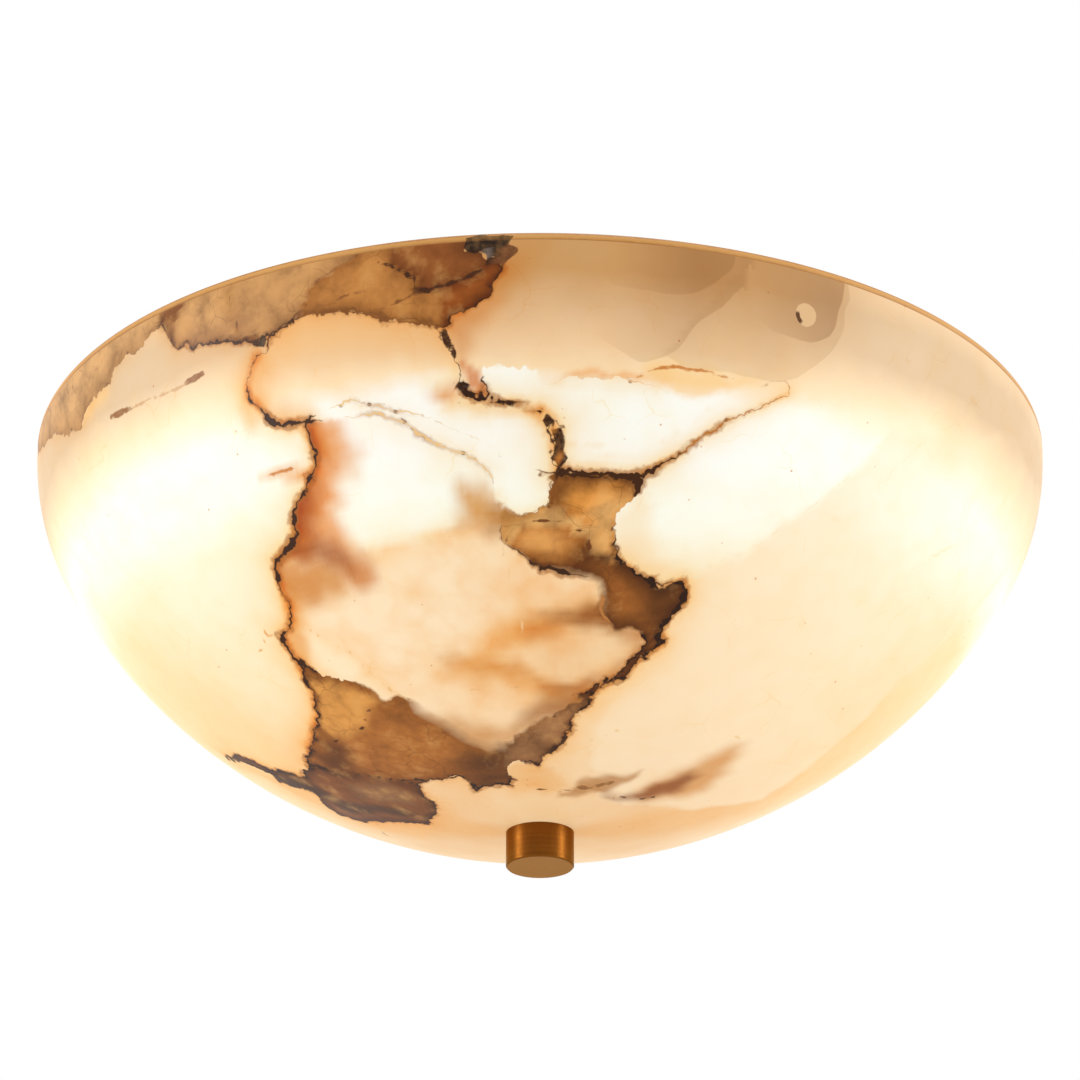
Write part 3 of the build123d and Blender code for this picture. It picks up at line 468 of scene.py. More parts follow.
upper_island = [
    (269, 336), (278, 330), (284, 326), (293, 321), (298, 316), (301.5, 311), (312, 314), (322, 313.5),
    (332.5, 312), (344.6, 311), (356.6, 311), (363.5, 314.4), (372, 313.5), (379, 317), (384, 322),
    (394.5, 320.4), (408, 319.5), (420, 322), (430, 324), (437, 327), (439, 333), (443, 341), (446, 346),
    (450, 352), (455, 360), (458, 367), (460, 374), (459, 379), (458, 386), (466, 392), (472, 396.5),
    (480, 398), (490, 400), (500, 402), (508, 405), (520, 406), (527, 407), (540, 413), (543, 421),
    (547, 428), (551, 436), (556, 441), (554, 449), (550.5, 456), (553, 463), (558, 468), (556, 474),
    (551, 480), (551, 490), (551, 500), (545, 506), (538, 510), (528, 515), (520, 517), (512, 512),
    (505, 508), (500, 505), (497, 497), (496, 488), (492, 478), (487, 469), (470, 457), (450, 450),
    (420, 435), (410, 426), (376, 412), (350, 416), (320, 420), (301, 422), (289, 423), (285, 426),
    (275, 423), (268, 420), (267, 414), (262, 409), (254, 403), (249, 397), (248, 385), (250, 372.6),
    (254.6, 358.7), (262, 354), (268, 352), (267, 341)]
right_island = [
    (484, 368), (492, 366), (505, 365), (515, 368), (528, 368), (537, 371), (538, 378), (542, 383),
    (549, 386), (560, 382), (570, 378), (582, 377), (596, 379), (605, 380), (614, 378), (625, 379),
    (634, 381), (645, 384), (657, 387), (670, 392), (683, 398), (700, 401), (720, 393), (745, 386),
    (772, 383), (788, 382), (787, 394), (762, 406), (735, 417), (720, 424), (710, 431), (700, 438),
    (690, 443), (685, 450), (680, 452), (672, 459), (664, 462), (657, 466), (648, 471), (640, 476),
    (630, 476), (620, 475), (604, 475), (590, 476), (580, 473), (572, 473), (562, 472), (558, 471),
    (560, 466), (566, 463), (566, 458), (564, 450), (562, 444), (564, 440), (563, 433), (561, 428),
    (556, 421), (553, 418), (548, 414), (541, 411), (533, 407), (520, 403.5), (508, 403), (497, 399),
    (490, 393), (485, 380)]
white_corner = [
    (478, 362), (505, 360), (545, 366), (552, 380), (600, 374), (650, 380), (690, 392), (720, 400),
    (640, 450), (560, 440), (520, 402), (484, 396)]

soft_petal = [(248.4, 400), (266.6, 416), (257, 425.7), (247.4, 431.4), (239.8, 411)]
vein_haze = [
    (446, 326), (458, 314), (470, 306), (489, 297), (500, 296), (485, 318), (472, 350), (462, 362),
    (456, 350), (450, 338)]
knot_haze = [
    (506, 262), (520, 240), (545, 236), (560, 230), (545, 262), (525, 282), (505, 292), (494, 286),
    (502, 272)]
red_petal = [
    (457, 358), (465, 363), (475, 370), (483, 379), (489, 389), (497, 398), (485, 399), (476, 395),
    (467, 388), (461, 378)]
orange_ridge = [
    (560, 380), (575, 371), (600, 371), (620, 372), (640, 376), (640, 381), (625, 379), (605, 380),
    (582, 377)]
orange_cell = [
    (640, 380), (645, 370), (655, 362), (668, 358), (680, 366), (700, 371), (730, 374), (760, 382),
    (740, 388), (715, 396), (695, 400), (672, 390), (655, 386)]
upper_grey_cell = [
    (735.5, 230), (735.5, 256), (734, 266), (729, 272), (722, 277), (718, 282), (711, 286), (703, 289),
    (695, 293), (680, 295), (655, 292), (610, 284), (590, 225)]
middle_grey_field = [
    (752, 230), (752, 260), (749, 266), (748, 283), (742, 288), (735, 293), (729, 300), (722, 307),
    (712, 314), (701, 321), (694, 328), (688, 336), (683, 343), (678, 350), (670, 354), (662, 357.5),
    (653, 360), (641, 364), (588, 330), (560, 300), (570, 230)]
right_grey_cell = [
    (848, 250), (848, 284), (850, 300), (844.5, 311), (844, 328), (839, 340), (833, 350), (826, 357),
    (818, 364), (808, 371), (798, 378), (786, 381), (772, 382), (744, 377), (727, 372), (703, 370),
    (682, 366), (660, 352), (700, 300), (740, 240)]
inner_grey_cell = [
    (845, 250), (845, 282), (843, 298), (838, 312), (835, 328), (829, 337), (820, 342), (811, 343),
    (800, 340), (770, 330), (740, 300), (760, 240)]
right_lower_field = [
    (894, 430), (828, 494.5), (795.5, 516.5), (757, 544), (738, 557.6), (716, 568.6), (683, 582), (660, 640),
    (620, 690), (590, 740), (600, 800), (760, 800), (900, 680), (1000, 580), (1060, 500), (1010, 430)]
right_clear_haze = [(613, 516), (641, 490), (650, 520), (660, 560), (680, 575), (645, 579), (616, 555)]
right_drift = [
    (600, 790), (608, 797), (625, 799), (642, 800), (660, 797), (675, 792), (688, 785), (697, 776),
    (690, 770), (675, 778), (655, 786), (640, 792), (620, 796)]
right_drift_haze = [
    (640, 790), (660, 780), (690, 765), (720, 752), (740, 745), (725, 775), (700, 792), (660, 800),
    (640, 802)]
finial_streak = [(560, 796), (578, 781), (600, 776), (640, 772), (618, 786), (598, 794), (580, 796)]
lower_petal = [
    (504, 768), (520, 762), (540, 766), (552, 768), (562, 776), (570, 784), (560, 790), (545, 793),
    (535, 787), (513, 786)]
lower_left_strip = [
    (226, 762), (260, 775), (320, 805), (380, 830), (430, 840), (430, 824), (375, 822), (330, 810),
    (300, 790), (274, 780), (250, 765)]
pale_sliver = [
    (717, 424), (735.5, 408.7), (750, 398.5), (776, 384), (788.6, 381), (784.5, 394.4), (756, 406.6)]
left_inlet = [(262, 478), (279, 470), (300, 466), (316, 466), (309, 480), (300, 480), (279, 478)]
peach_field = [
    (290, 540), (308, 535), (330, 540), (350, 548), (363, 551), (380, 548.5), (395, 547), (408, 542),
    (425, 539), (432, 534), (443, 530), (460, 529), (480, 528), (500, 534), (560, 520), (700, 560),
    (700, 640), (600, 800), (300, 800), (260, 660)]
middle_warmth = [(500, 580), (560, 570), (640, 640), (590, 740), (470, 770), (430, 720), (480, 650)]
first_red_patch = [
    (285, 415), (318, 410), (338, 424), (344, 440), (358, 452), (352, 466), (336, 474), (318, 474),
    (285, 450)]
first_red_shade = [(290, 424), (312, 424), (322, 440), (325, 464), (316, 470), (290, 450)]
second_red_patch = [
    (280, 462), (318, 464), (334, 472), (330, 486), (340, 500), (334, 514), (344, 530), (350, 548),
    (280, 545)]
second_red_shade = [(280, 490), (312, 478), (318, 500), (314, 537), (280, 540)]
third_red_shade = [(284, 540), (318, 540), (346, 556), (352, 572), (320, 560), (290, 556), (276, 566)]
tan_fan = [
    (462, 486), (485, 486), (500, 505), (520, 517), (512, 530), (500, 533), (480, 528), (462, 528),
    (456, 505)]
tan_fan_shade = [(484, 508), (500, 500), (530, 516), (505, 534), (490, 530)]
amber_below_red = [(276, 566), (330, 562), (348, 576), (346, 592), (310, 608), (278, 600)]
left_edge_amber = [(276, 592), (300, 600), (308, 640), (312, 664), (298, 662), (278, 640), (290, 620)]
amber_drift = [
    (440, 655), (500, 660), (520, 664), (545, 678), (576, 692), (560, 692), (530, 682), (500, 672),
    (450, 668)]
upper_band = [
    (470, 662), (488, 648), (496, 630), (520, 616), (550, 606), (580, 600), (610, 596), (640, 606),
    (640, 632), (606, 630), (572, 632), (546, 640), (526, 648), (500, 656)]
lower_band = [
    (440, 676), (470, 662), (504, 660), (526, 668), (556, 682), (592, 686), (592, 704), (570, 712),
    (545, 704), (520, 694), (500, 682), (470, 684)]
amber_spot = [(522, 622), (550, 613), (560, 630), (543, 642), (525, 642)]
brown_band = [(548, 613), (600, 606), (630, 630), (600, 632), (570, 624)]
fourth_cell = [
    (528, 650), (553, 636), (590, 632), (622, 634), (636, 642), (628, 658), (610, 672), (590, 680),
    (560, 680), (537, 668)]
fourth_cell_shade = [
    (606, 630), (646, 630), (640, 652), (612, 678), (590, 692), (560, 694), (540, 684), (575, 682),
    (605, 672), (626, 654)]
wedge_smoke = [(545, 694), (577, 694), (590, 702), (560, 716), (536, 724), (518, 734), (525, 715)]
field_haze = [
    (430, 715), (470, 722), (510, 728), (540, 720), (520, 742), (490, 748), (460, 738), (440, 726)]
left_pale_lobe = [
    (308, 642), (320, 638), (335, 640), (350, 650), (356, 660), (372, 674), (396, 694), (370, 686),
    (330, 678), (312, 668)]
amber_upper_field = [
    (310, 680), (350, 686), (380, 700), (366, 712), (364, 728), (352, 736), (335, 740), (320, 724),
    (318, 700)]
dark_lower_field = [(322, 742), (345, 742), (352, 760), (356, 776), (330, 774), (322, 756)]
dark_right_field = [(460, 764), (480, 752), (506, 744), (512, 778), (480, 792), (462, 780)]
field_foot = [(360, 774), (420, 770), (470, 764), (500, 770), (470, 784), (420, 786), (380, 780)]
drift_light = [(345, 784), (370, 783), (395, 787), (415, 795), (412, 803), (385, 803), (360, 797)]
drift_dark = [
    (240, 759), (270, 771), (310, 782), (340, 800), (380, 806), (420, 812), (410, 818), (375, 812),
    (345, 812), (320, 796), (285, 783)]
cell_shine = [(520, 532), (545, 527), (560, 530), (566, 544), (545, 552), (522, 546)]
cell_dark_end = [(562, 556), (580, 540), (596, 540), (600, 560), (575, 575), (530, 572), (526, 558)]
brown_cell_top = [(548, 470), (645, 470), (641, 486), (600, 487), (572, 492), (560, 515), (548, 510)]
brown_cell_light = [
    (598, 498), (636, 492), (625, 506), (614, 520), (616, 556), (596, 552), (598, 530), (585, 520)]
patch_glow = [(606, 566), (630, 576), (640, 592), (628, 604), (608, 600), (604, 582)]
patch_dark_top = [
    (590, 552), (620, 560), (650, 578), (684, 582), (684, 602), (660, 628), (646, 620), (650, 596),
    (620, 572)]
blob = [(430, 392), (438, 384), (448, 382), (458, 388), (460, 396), (446, 400), (436, 398)]
island_lower_lip = [(452, 402), (480, 399), (527, 407), (541, 414), (530, 421), (500, 412), (470, 414)]
island_top_band = [
    (246, 394), (250, 350), (270, 325), (300, 300), (420, 308), (446, 322), (450, 350), (430, 358),
    (400, 356), (360, 356), (320, 360), (285, 372), (268, 385), (270, 405), (310, 412), (320, 426),
    (260, 426)]
small_lit_nook = [(420, 385), (440, 370), (456, 372), (460, 382), (440, 388)]
right_island_foot = [
    (562, 470), (570, 462), (580, 466), (600, 472), (640, 472), (652, 468), (640, 478), (600, 478)]

# Toothed edges with a dark line in them; the third number is the line's width in the same pixels
left_edge = [
    (256, 357, 1.6), (250, 372, 1.6), (248, 385, 1.6), (249, 397, 2.5), (262, 409, 3), (268, 417, 6),
    (275, 422, 6), (286, 425, 5), (301, 422, 3), (308, 432, 4), (313, 447, 3.5), (317, 462, 5),
    (312, 474, 3.5), (307, 490, 3.5), (299, 501, 4), (295, 516, 4), (296, 532, 6), (294, 545, 7),
    (284, 553, 5), (276, 566, 5), (279, 577, 3), (283, 592, 4), (289, 604, 3), (292, 622, 2.5),
    (284, 635, 5), (290, 650, 4), (299, 660, 4), (305, 675, 4), (312, 688, 3.5), (316, 698, 3),
    (319, 716, 3), (315, 735, 3), (311, 748, 3.5), (313, 765, 5)]
middle_edge = [
    (451, 401, 3), (465, 396, 5), (480, 397.5, 3), (500, 401, 4), (520, 405, 3.5), (535, 410, 2.5),
    (541, 413, 2.5)]
right_island_foot_line = [
    (560, 472, 5), (580, 473, 3.5), (600, 476, 5), (620, 475, 4), (638, 477, 8), (650, 470, 6),
    (664, 462, 4), (680, 453, 2)]
amber_right_line = [
    (680, 452, 2.4), (690, 443, 2.6), (710, 431, 3), (735, 417, 1.6), (762, 406, 1.4), (787, 394, 0.8)]
lobe_end = [
    (551, 480, 2.4), (551, 500, 0.8), (538, 510, 1.0), (520, 517, 0.8), (505, 508, 0.4), (497, 497, 0.2)]
crack_line = [
    (459, 384, 7), (465, 391, 8), (472, 395, 5), (480, 397, 3), (492, 398.5, 4), (502, 401, 5),
    (514, 404, 4), (527, 405, 3.4), (534, 409, 2), (540, 412, 3)]
cell_top_edge = [(552, 505, 3), (565, 515, 1.6), (582, 523, 3), (597, 530, 2)]
cell_foot = [(509, 543, 2), (530, 561, 3), (545, 569, 5), (558, 571, 5), (572, 570, 4)]
patch_edge = [
    (592, 553, 5), (608, 557, 4), (620, 563, 2.5), (634, 573, 4), (653, 580, 4), (656, 588, 2),
    (672, 586, 3), (683, 583, 4), (684, 600, 4), (668, 618, 4), (658, 634, 4), (664, 642, 3), (645, 653, 3),
    (632, 668, 3), (616, 680, 3), (597, 690, 3), (583, 698, 4), (588, 704, 3)]
field_edge = [
    (588, 704, 3), (575, 713, 2), (570, 722, 3), (570, 727, 4), (566, 738, 2), (555, 748, 3),
    (545, 755, 1.5), (538, 766, 2.5)]
bottom_edge = [
    (440, 779, 2), (463, 776, 2), (474, 786, 3), (477, 790, 4), (490, 785, 3), (510, 785, 4), (514, 788, 4),
    (535, 786, 2)]
drift_top_edge = [(226, 756, 2), (237, 755, 3), (256, 762, 3), (277, 771, 4), (296, 776, 4), (306, 776, 3)]
drift_foot_edge = [
    (278, 781, 2), (300, 788, 1.6), (320, 796, 2), (350, 818, 1.6), (376, 822, 2.4), (410, 822, 1.6),
    (428, 822, 2)]
drift_end_edge = [(420, 785, 3), (421, 793, 3.5), (438, 808, 2), (428, 822, 2)]
first_plate_edge = [
    (160, 321, 2), (177, 346.6, 2.5), (188, 343, 2.5), (193, 346.6, 3), (202, 343.5, 2), (212, 342, 2.5),
    (222, 341, 2), (230, 342, 2.5), (241, 336.7, 4), (257, 335, 3), (269, 336, 3), (284, 326, 2),
    (298, 316, 2)]
plate_parting = [(230, 297, 1.6), (234, 318, 2), (241, 334, 2)]
second_plate_side = [(357, 256, 0.6), (339, 266, 1), (315, 283, 1.5), (306, 301, 2), (298, 316, 2.5)]
fourth_plate_edge = [
    (375, 250, 2), (377, 262, 2), (391, 266, 2), (401, 271, 3), (416, 280, 5), (417, 289, 5),
    (428, 291, 2.5), (434.7, 287, 3), (446, 285, 2.5), (464, 279, 2.5), (481, 270, 2.5), (488, 263, 3)]
fifth_plate_edge = [
    (447, 324, 3), (450, 315, 2), (461, 312, 2), (478, 301.5, 2), (489, 296.6, 2), (491, 288, 2.4),
    (493, 279, 2), (503.5, 268.5, 2.4)]
third_plate_edge = [
    (301.5, 311, 1.5), (322, 313.5, 1.5), (344.6, 311, 1.8), (363.5, 314.4, 1.5), (379, 317, 2.4),
    (394.5, 320.4, 1.8), (420, 322, 2), (438, 327, 2.5)]
far_left_edge = [
    (38.6, 452.6, 1.5), (49, 437, 1.2), (63, 435, 1), (83, 426.6, 1), (97, 394, 0.6), (111.5, 376, 1),
    (120.6, 359, 1), (149, 334, 1), (160, 321, 2)]
peach_edge = [
    (308, 535, 2.4), (330, 540, 1.4), (363, 551, 1.2), (395, 547, 1), (432, 534, 0.6), (480, 528, 0.4)]
right_island_edge = [(549, 386, 0.3), (570, 378, 0.5), (600, 379, 0.6), (634, 381, 0.8), (657, 387, 0.3)]

beaded_vein_line = [
    (540, 412, 1), (548, 422, 1), (558, 434, 1), (558, 446, 1), (558, 458, 1), (559, 470, 1)]
second_vein_line = [(440, 330, 1), (452, 354, 1), (460, 376, 1), (464, 392, 1)]

# Lines inside one kind of stone
third_plate_seams = [(332.5, 301.5, 1.2), (350, 294, 1.4), (368.7, 290, 1.2)]
third_plate_seam = [(381, 309, 1.2), (398, 301.5, 1.4), (418.6, 292, 1.2)]
orange_top_line = [
    (637, 378, 1.5), (650, 371, 1.5), (660, 368, 1.2), (675, 366.5, 2.2), (690, 370, 1.6), (705, 371, 1.8),
    (735, 379, 0.8)]
upper_seam = [
    (462, 669, 1), (484, 656, 1.4), (496, 637, 1.6), (520, 630, 2), (545, 627, 2.6), (572, 620, 3),
    (598, 612, 4), (620, 604, 2)]
lower_seam = [
    (462, 669, 1.2), (480, 667, 1.6), (502, 668, 2.4), (524, 680, 2.8), (552, 694, 2.4), (584, 702, 2)]
second_cell_top = [
    (509, 543, 1.6), (508, 534, 1.4), (515, 528, 1.4), (535, 521, 1.2), (560, 522, 1.6), (582, 530, 3.6),
    (588, 538, 4), (587, 547, 4.5), (592, 554, 5)]
drift_parting = [(313, 765, 3), (330, 771, 2), (360, 774, 1.8), (400, 780, 2.4), (440, 779, 2)]
lobe_top_seam = [
    (375, 560, 0.8), (410, 550, 1), (450, 543, 1), (490, 545, 1.2), (518, 560, 1.2), (536, 584, 0.8)]
foot_crack = [(512, 786, 2), (532, 788, 1.6), (552, 791, 2), (575, 790, 1.6), (600, 787, 1.2)]
lobe_seam = [(298, 622, 1.2), (325, 640, 1.6), (350, 652, 1.2), (375, 676, 1.6), (396, 694, 1.2)]
side_seam = [(497, 540, 1), (506, 560, 1.4), (512, 585, 1), (524, 610, 1.6), (520, 642, 1)]
small_seam = [(470, 690, 1.2), (500, 684, 1.8), (530, 690, 1.2), (556, 700, 1.6)]
right_seam = [(590, 740, 0.8), (620, 730, 1.4), (660, 736, 0.8), (700, 726, 1.2), (740, 738, 0.8)]
field_ridge = [(364, 727, 2), (358, 734, 2.4), (345, 741, 3), (330, 741, 3.4)]
field_ridge_top = [(370, 710, 1.2), (366, 716, 1.6), (364, 727, 1.6)]
left_specks = [(110.8, 417.5, 4), (120, 413, 6), (130.3, 409, 4)]
middle_specks = [(187.6, 381.7, 4), (196, 377, 6), (205, 372.2, 4)]
speck_dots = [(131.6, 400.6, 2.5), (132, 400.6, 2.5)]
speck_seam = [(130.3, 409, 1), (146, 400.6, 2), (163, 394.7, 2.2), (183, 385.6, 2), (187.6, 381.7, 2)]
inlet_line = [(264, 479, 1.6), (279, 472, 3.4), (290, 470, 5), (300, 472, 4), (309, 477, 6)]
petal_line = [(250, 432, 2), (258, 424, 1.4), (268, 421, 2)]
small_hook = [(265, 630, 1.6), (265, 645, 1.4), (260, 651, 1.4), (252, 651, 2)]
hook_arm = [(265, 636, 1), (275, 636, 0.8), (281, 637, 1.2)]
red_parting = [(318, 467, 3), (326, 466, 2), (335, 466, 3)]
island_spot = [(495, 464, 4), (496, 464, 4)]
cell_spot = [(555, 497, 4.5), (556, 497, 4.5)]
left_cell_spot = [(508, 543, 4), (509, 543, 4)]
island_seam = [
    (340, 396, 1.2), (376, 412, 2.2), (410, 426, 1.8), (420, 434, 2.4), (450, 449, 1.8), (470, 457, 1.8),
    (487, 470, 1.6)]
step_seam = [(894, 430, 0.5), (828, 494.5, 0.7), (757, 544, 0.8), (716, 568.6, 0.8), (684, 582, 1)]
rim_notch = [(1041, 446, 2), (1041, 458, 2.4)]
left_rim_notch = [(45, 402, 1.4), (51, 412, 1.8)]
plate_seam = [(126, 332, 1), (119, 350, 1)]
nook_line = [(432, 391, 3), (442, 392, 3), (456, 391, 4)]
right_drift_line = [(601, 793, 3), (608, 796, 4), (620, 797.5, 3), (640, 799, 4), (655, 797, 2)]
streak_line = [(564, 791, 3), (580, 788, 6), (598, 786, 6), (614, 782, 3)]
drift_notch = [(376, 824, 4), (383, 832, 2), (390, 838, 1.4)]
wedge_dark_foot = [(520, 738), (530, 733), (545, 740), (558, 740), (556, 750), (540, 756), (526, 748)]

# A cloud's faint end: its place across and down, and the pixels over which the cloud fades up from there
field_faint_end = (1000, 500, 330)
# Where a veil fades up from: a place across and down, and the pixels from it at which it starts and is full
middle_veil_fade = (540, 250, 95, 190)
inner_veil_fade = (735, 300, 30, 130)
upper_veil_fade = (590, 240, 20, 130)
no_fade = (0, 0, 0, 1)

# The chip in the stone near the rim, and the painted shade at its one dark edge
chip_pixel = (806, 315)
chip_shade_pixel = (797, 318)

# Stained patches: outline, colour at the edge, colour further in, and how far in that is, in millimetres
stained_patches = [
    (third_plate, (168, 110, 56), (200, 140, 80), 6), (fifth_plate, (108, 52, 18), (158, 88, 36), 4),
    (fourth_plate, (116, 66, 32), (152, 92, 47), 6), (second_plate, (180, 132, 88), (208, 160, 112), 7),
    (first_plate, (172, 122, 76), (220, 172, 122), 10), (dark_wedge, (104, 62, 32), (140, 88, 46), 4),
    (far_left_plates, (188, 144, 100), (222, 178, 130), 9),
    (small_brown_cell, (110, 66, 34), (156, 100, 54), 2),
    (first_brown_cell, (212, 138, 62), (246, 172, 88), 6),
    (cell_shoulder, (222, 164, 98), (246, 202, 142), 5), (second_cell, (178, 108, 44), (232, 162, 88), 9),
    (dark_patch, (84, 44, 14), (166, 104, 48), 8), (smoke_wedge, (146, 100, 64), (186, 138, 98), 6),
    (brown_field, (152, 94, 40), (180, 116, 58), 12), (dark_drift, (78, 48, 28), (136, 84, 46), 5)]
# Soft clouds of colour: outline, colour, fade in millimetres, strength, and sometimes a faint end
stain_clouds = [
    (amber_upper_field, (226, 164, 92), 2.5, 0.95), (dark_lower_field, (84, 46, 22), 7, 0.8),
    (dark_right_field, (70, 42, 24), 9, 0.85), (field_foot, (150, 92, 44), 6, 0.5),
    (drift_light, (150, 112, 82), 5, 0.7), (drift_dark, (58, 44, 36), 3, 0.7),
    (cell_shine, (236, 178, 112), 5, 0.7), (cell_dark_end, (98, 52, 14), 8, 0.85),
    (brown_cell_top, (100, 54, 16), 7, 0.85), (brown_cell_light, (240, 194, 134), 5, 0.8),
    (patch_glow, (160, 98, 44), 6, 0.8), (patch_dark_top, (58, 32, 14), 6, 0.6),
    (tan_fan_shade, (186, 130, 68), 5, 0.8), (wedge_dark_foot, (104, 66, 36), 5, 0.7)]
outer_clouds = [
    (amber_fan, (240, 200, 140), 5, 0.9), (soft_petal, (250, 206, 150), 5, 0.8),
    (vein_haze, (218, 156, 98), 7, 0.75), (knot_haze, (206, 150, 88), 8, 0.7),
    (orange_cell, (253, 208, 140), 5, 0.85), (orange_ridge, (246, 190, 130), 2, 0.8),
    (pale_sliver, (252, 228, 190), 1, 0.7), (right_lower_field, (252, 227, 190), 3.0, 0.7, field_faint_end),
    (right_clear_haze, (252, 226, 184), 6, 0.6), (right_drift_haze, (216, 150, 80), 8, 0.85),
    (right_drift, (146, 80, 30), 5, 0.9), (finial_streak, (186, 128, 70), 3, 0.85),
    (lower_petal, (240, 190, 130), 4, 0.85), (lower_left_strip, (246, 192, 126), 5, 0.6),
    (left_inlet, (238, 176, 106), 3, 0.95), (red_petal, (222, 156, 112), 1.6, 0.95)]
# Grey veils over the lamp's light: outline, fade and strength of each cell
veils = {
    "outer_veil": [(middle_grey_field, middle_veil_fade, 0.6), (right_grey_cell, no_fade, 1.0)],
    "inner_veil": [(middle_grey_field, middle_veil_fade, 0.6), (inner_grey_cell, inner_veil_fade, 1.0)],
    "upper_veil": [(upper_grey_cell, upper_veil_fade, 0.55)]}
middle_clouds = [
    (peach_field, (253, 226, 188), 2.4, 0.9), (middle_warmth, (250, 210, 160), 16, 0.7),
    (first_red_patch, (234, 160, 84), 11, 0.95), (first_red_shade, (190, 102, 38), 8, 0.85),
    (second_red_patch, (236, 160, 92), 9, 0.95), (second_red_shade, (170, 84, 30), 8, 0.9),
    (tan_fan, (220, 168, 104), 8, 0.95), (tan_fan_shade, (192, 136, 74), 5, 0.85),
    (amber_below_red, (214, 150, 82), 7, 0.9), (third_red_patch, (212, 138, 76), 6, 0.9),
    (third_red_shade, (158, 84, 38), 8, 0.8), (left_edge_amber, (236, 184, 122), 6, 0.8),
    (lower_band, (238, 184, 116), 9, 0.7), (amber_drift, (216, 154, 82), 6, 0.6),
    (upper_band, (240, 188, 120), 9, 0.75), (amber_spot, (214, 150, 84), 6, 0.6),
    (brown_band, (146, 86, 32), 6, 0.9), (fourth_cell_shade, (184, 122, 64), 6, 0.9),
    (fourth_cell, (245, 208, 160), 5, 0.85), (wedge_smoke, (176, 128, 86), 7, 0.9),
    (field_haze, (206, 148, 88), 8, 0.8), (left_pale_lobe, (253, 232, 196), 2.0, 0.8)]
island_clouds = [
    (white_corner, (255, 254, 244), 3, 1.0), (island_top_band, (242, 196, 140), 10, 0.85),
    (blob, (230, 166, 104), 4, 0.9), (island_lower_lip, (250, 220, 170), 4, 0.7),
    (small_lit_nook, (253, 236, 196), 4, 0.7), (right_island_foot, (250, 214, 160), 3, 0.6)]
# Lines on the edges of stone: line, colour, and strength and reach in millimetres of the halo round it
edge_lines = [
    (left_edge, (60, 32, 14), 0.9, 4.0), (middle_edge, (50, 26, 10), 0.8, 3.0),
    (right_island_foot_line, (64, 34, 10), 0.8, 3.0), (amber_right_line, (186, 114, 44), 0.7, 2.4),
    (lobe_end, (140, 84, 34), 0.45, 2.0), (upper_seam, (186, 120, 60), 0.5, 5.0),
    (lower_seam, (186, 120, 60), 0.5, 5.0), (lobe_seam, (236, 188, 128), 0.3, 4.0),
    (island_seam, (240, 196, 130), 0.3, 4.0), (lobe_top_seam, (226, 170, 108), 0.3, 5.0),
    (cell_top_edge, (66, 36, 16), 0.3, 2.0), (cell_foot, (60, 34, 16), 0.5, 3.0),
    (patch_edge, (46, 24, 10), 0.8, 4.0), (field_edge, (64, 36, 18), 0.6, 3.0),
    (bottom_edge, (46, 28, 16), 0.5, 3.0), (drift_top_edge, (52, 36, 26), 0.6, 3.0),
    (drift_foot_edge, (90, 60, 40), 0.6, 3.0), (drift_end_edge, (60, 40, 28), 0.5, 3.0),
    (first_plate_edge, (72, 42, 22), 0.6, 4.0), (fifth_plate_edge, (70, 34, 12), 0.8, 4.0),
    (third_plate_edge, (130, 80, 38), 0.5, 4.0), (far_left_edge, (140, 100, 64), 0.4, 2.5),
    (peach_edge, (226, 160, 90), 0.5, 2.0), (right_island_edge, (240, 176, 104), 0.45, 2.0),
    (beaded_vein_line, (50, 26, 10), 0.9, 5.0), (second_vein_line, (50, 26, 10), 0.6, 3.0)]
inner_lines = [
    (lobe_seam, (236, 188, 128)), (side_seam, (240, 200, 146)), (foot_crack, (110, 66, 30)),
    (second_cell_top, (108, 58, 22)), (drift_parting, (70, 40, 22)), (plate_parting, (120, 80, 48)),
    (second_plate_side, (132, 84, 46)), (fourth_plate_edge, (66, 36, 18)), (small_seam, (226, 172, 108)),
    (right_seam, (244, 206, 152)), (crack_line, (60, 30, 10)), (orange_top_line, (206, 130, 60)),
    (third_plate_seams, (130, 78, 40)), (third_plate_seam, (130, 78, 40)), (field_ridge, (84, 44, 18)),
    (field_ridge_top, (130, 80, 40)), (left_specks, (150, 98, 54)), (middle_specks, (150, 98, 54)),
    (speck_dots, (120, 76, 40)), (speck_seam, (208, 164, 118)), (inlet_line, (206, 130, 66)),
    (petal_line, (196, 128, 70)), (small_hook, (226, 160, 90)), (hook_arm, (236, 180, 120)),
    (red_parting, (96, 50, 20)), (island_spot, (150, 70, 20)), (cell_spot, (44, 20, 6)),
    (left_cell_spot, (90, 50, 20)), (island_seam, (240, 196, 130)), (step_seam, (246, 226, 190)),
    (rim_notch, (120, 80, 50)), (left_rim_notch, (110, 74, 46)), (plate_seam, (150, 110, 74)),
    (nook_line, (196, 128, 66)), (right_drift_line, (90, 58, 34)), (streak_line, (150, 98, 48)),
    (drift_notch, (100, 60, 30))]
knots = [
    (first_knot, (60, 45, 30)), (second_knot, (40, 24, 12)), (knot_tail, (110, 66, 36)),
    (knot_glint, (104, 94, 88)), (second_glint, (120, 104, 90)), (second_vein, (62, 32, 14)),
    (third_knot, (48, 24, 10)), (beaded_vein, (58, 30, 12)), (upper_bead, (150, 88, 30)),
    (lower_bead, (196, 120, 50))]
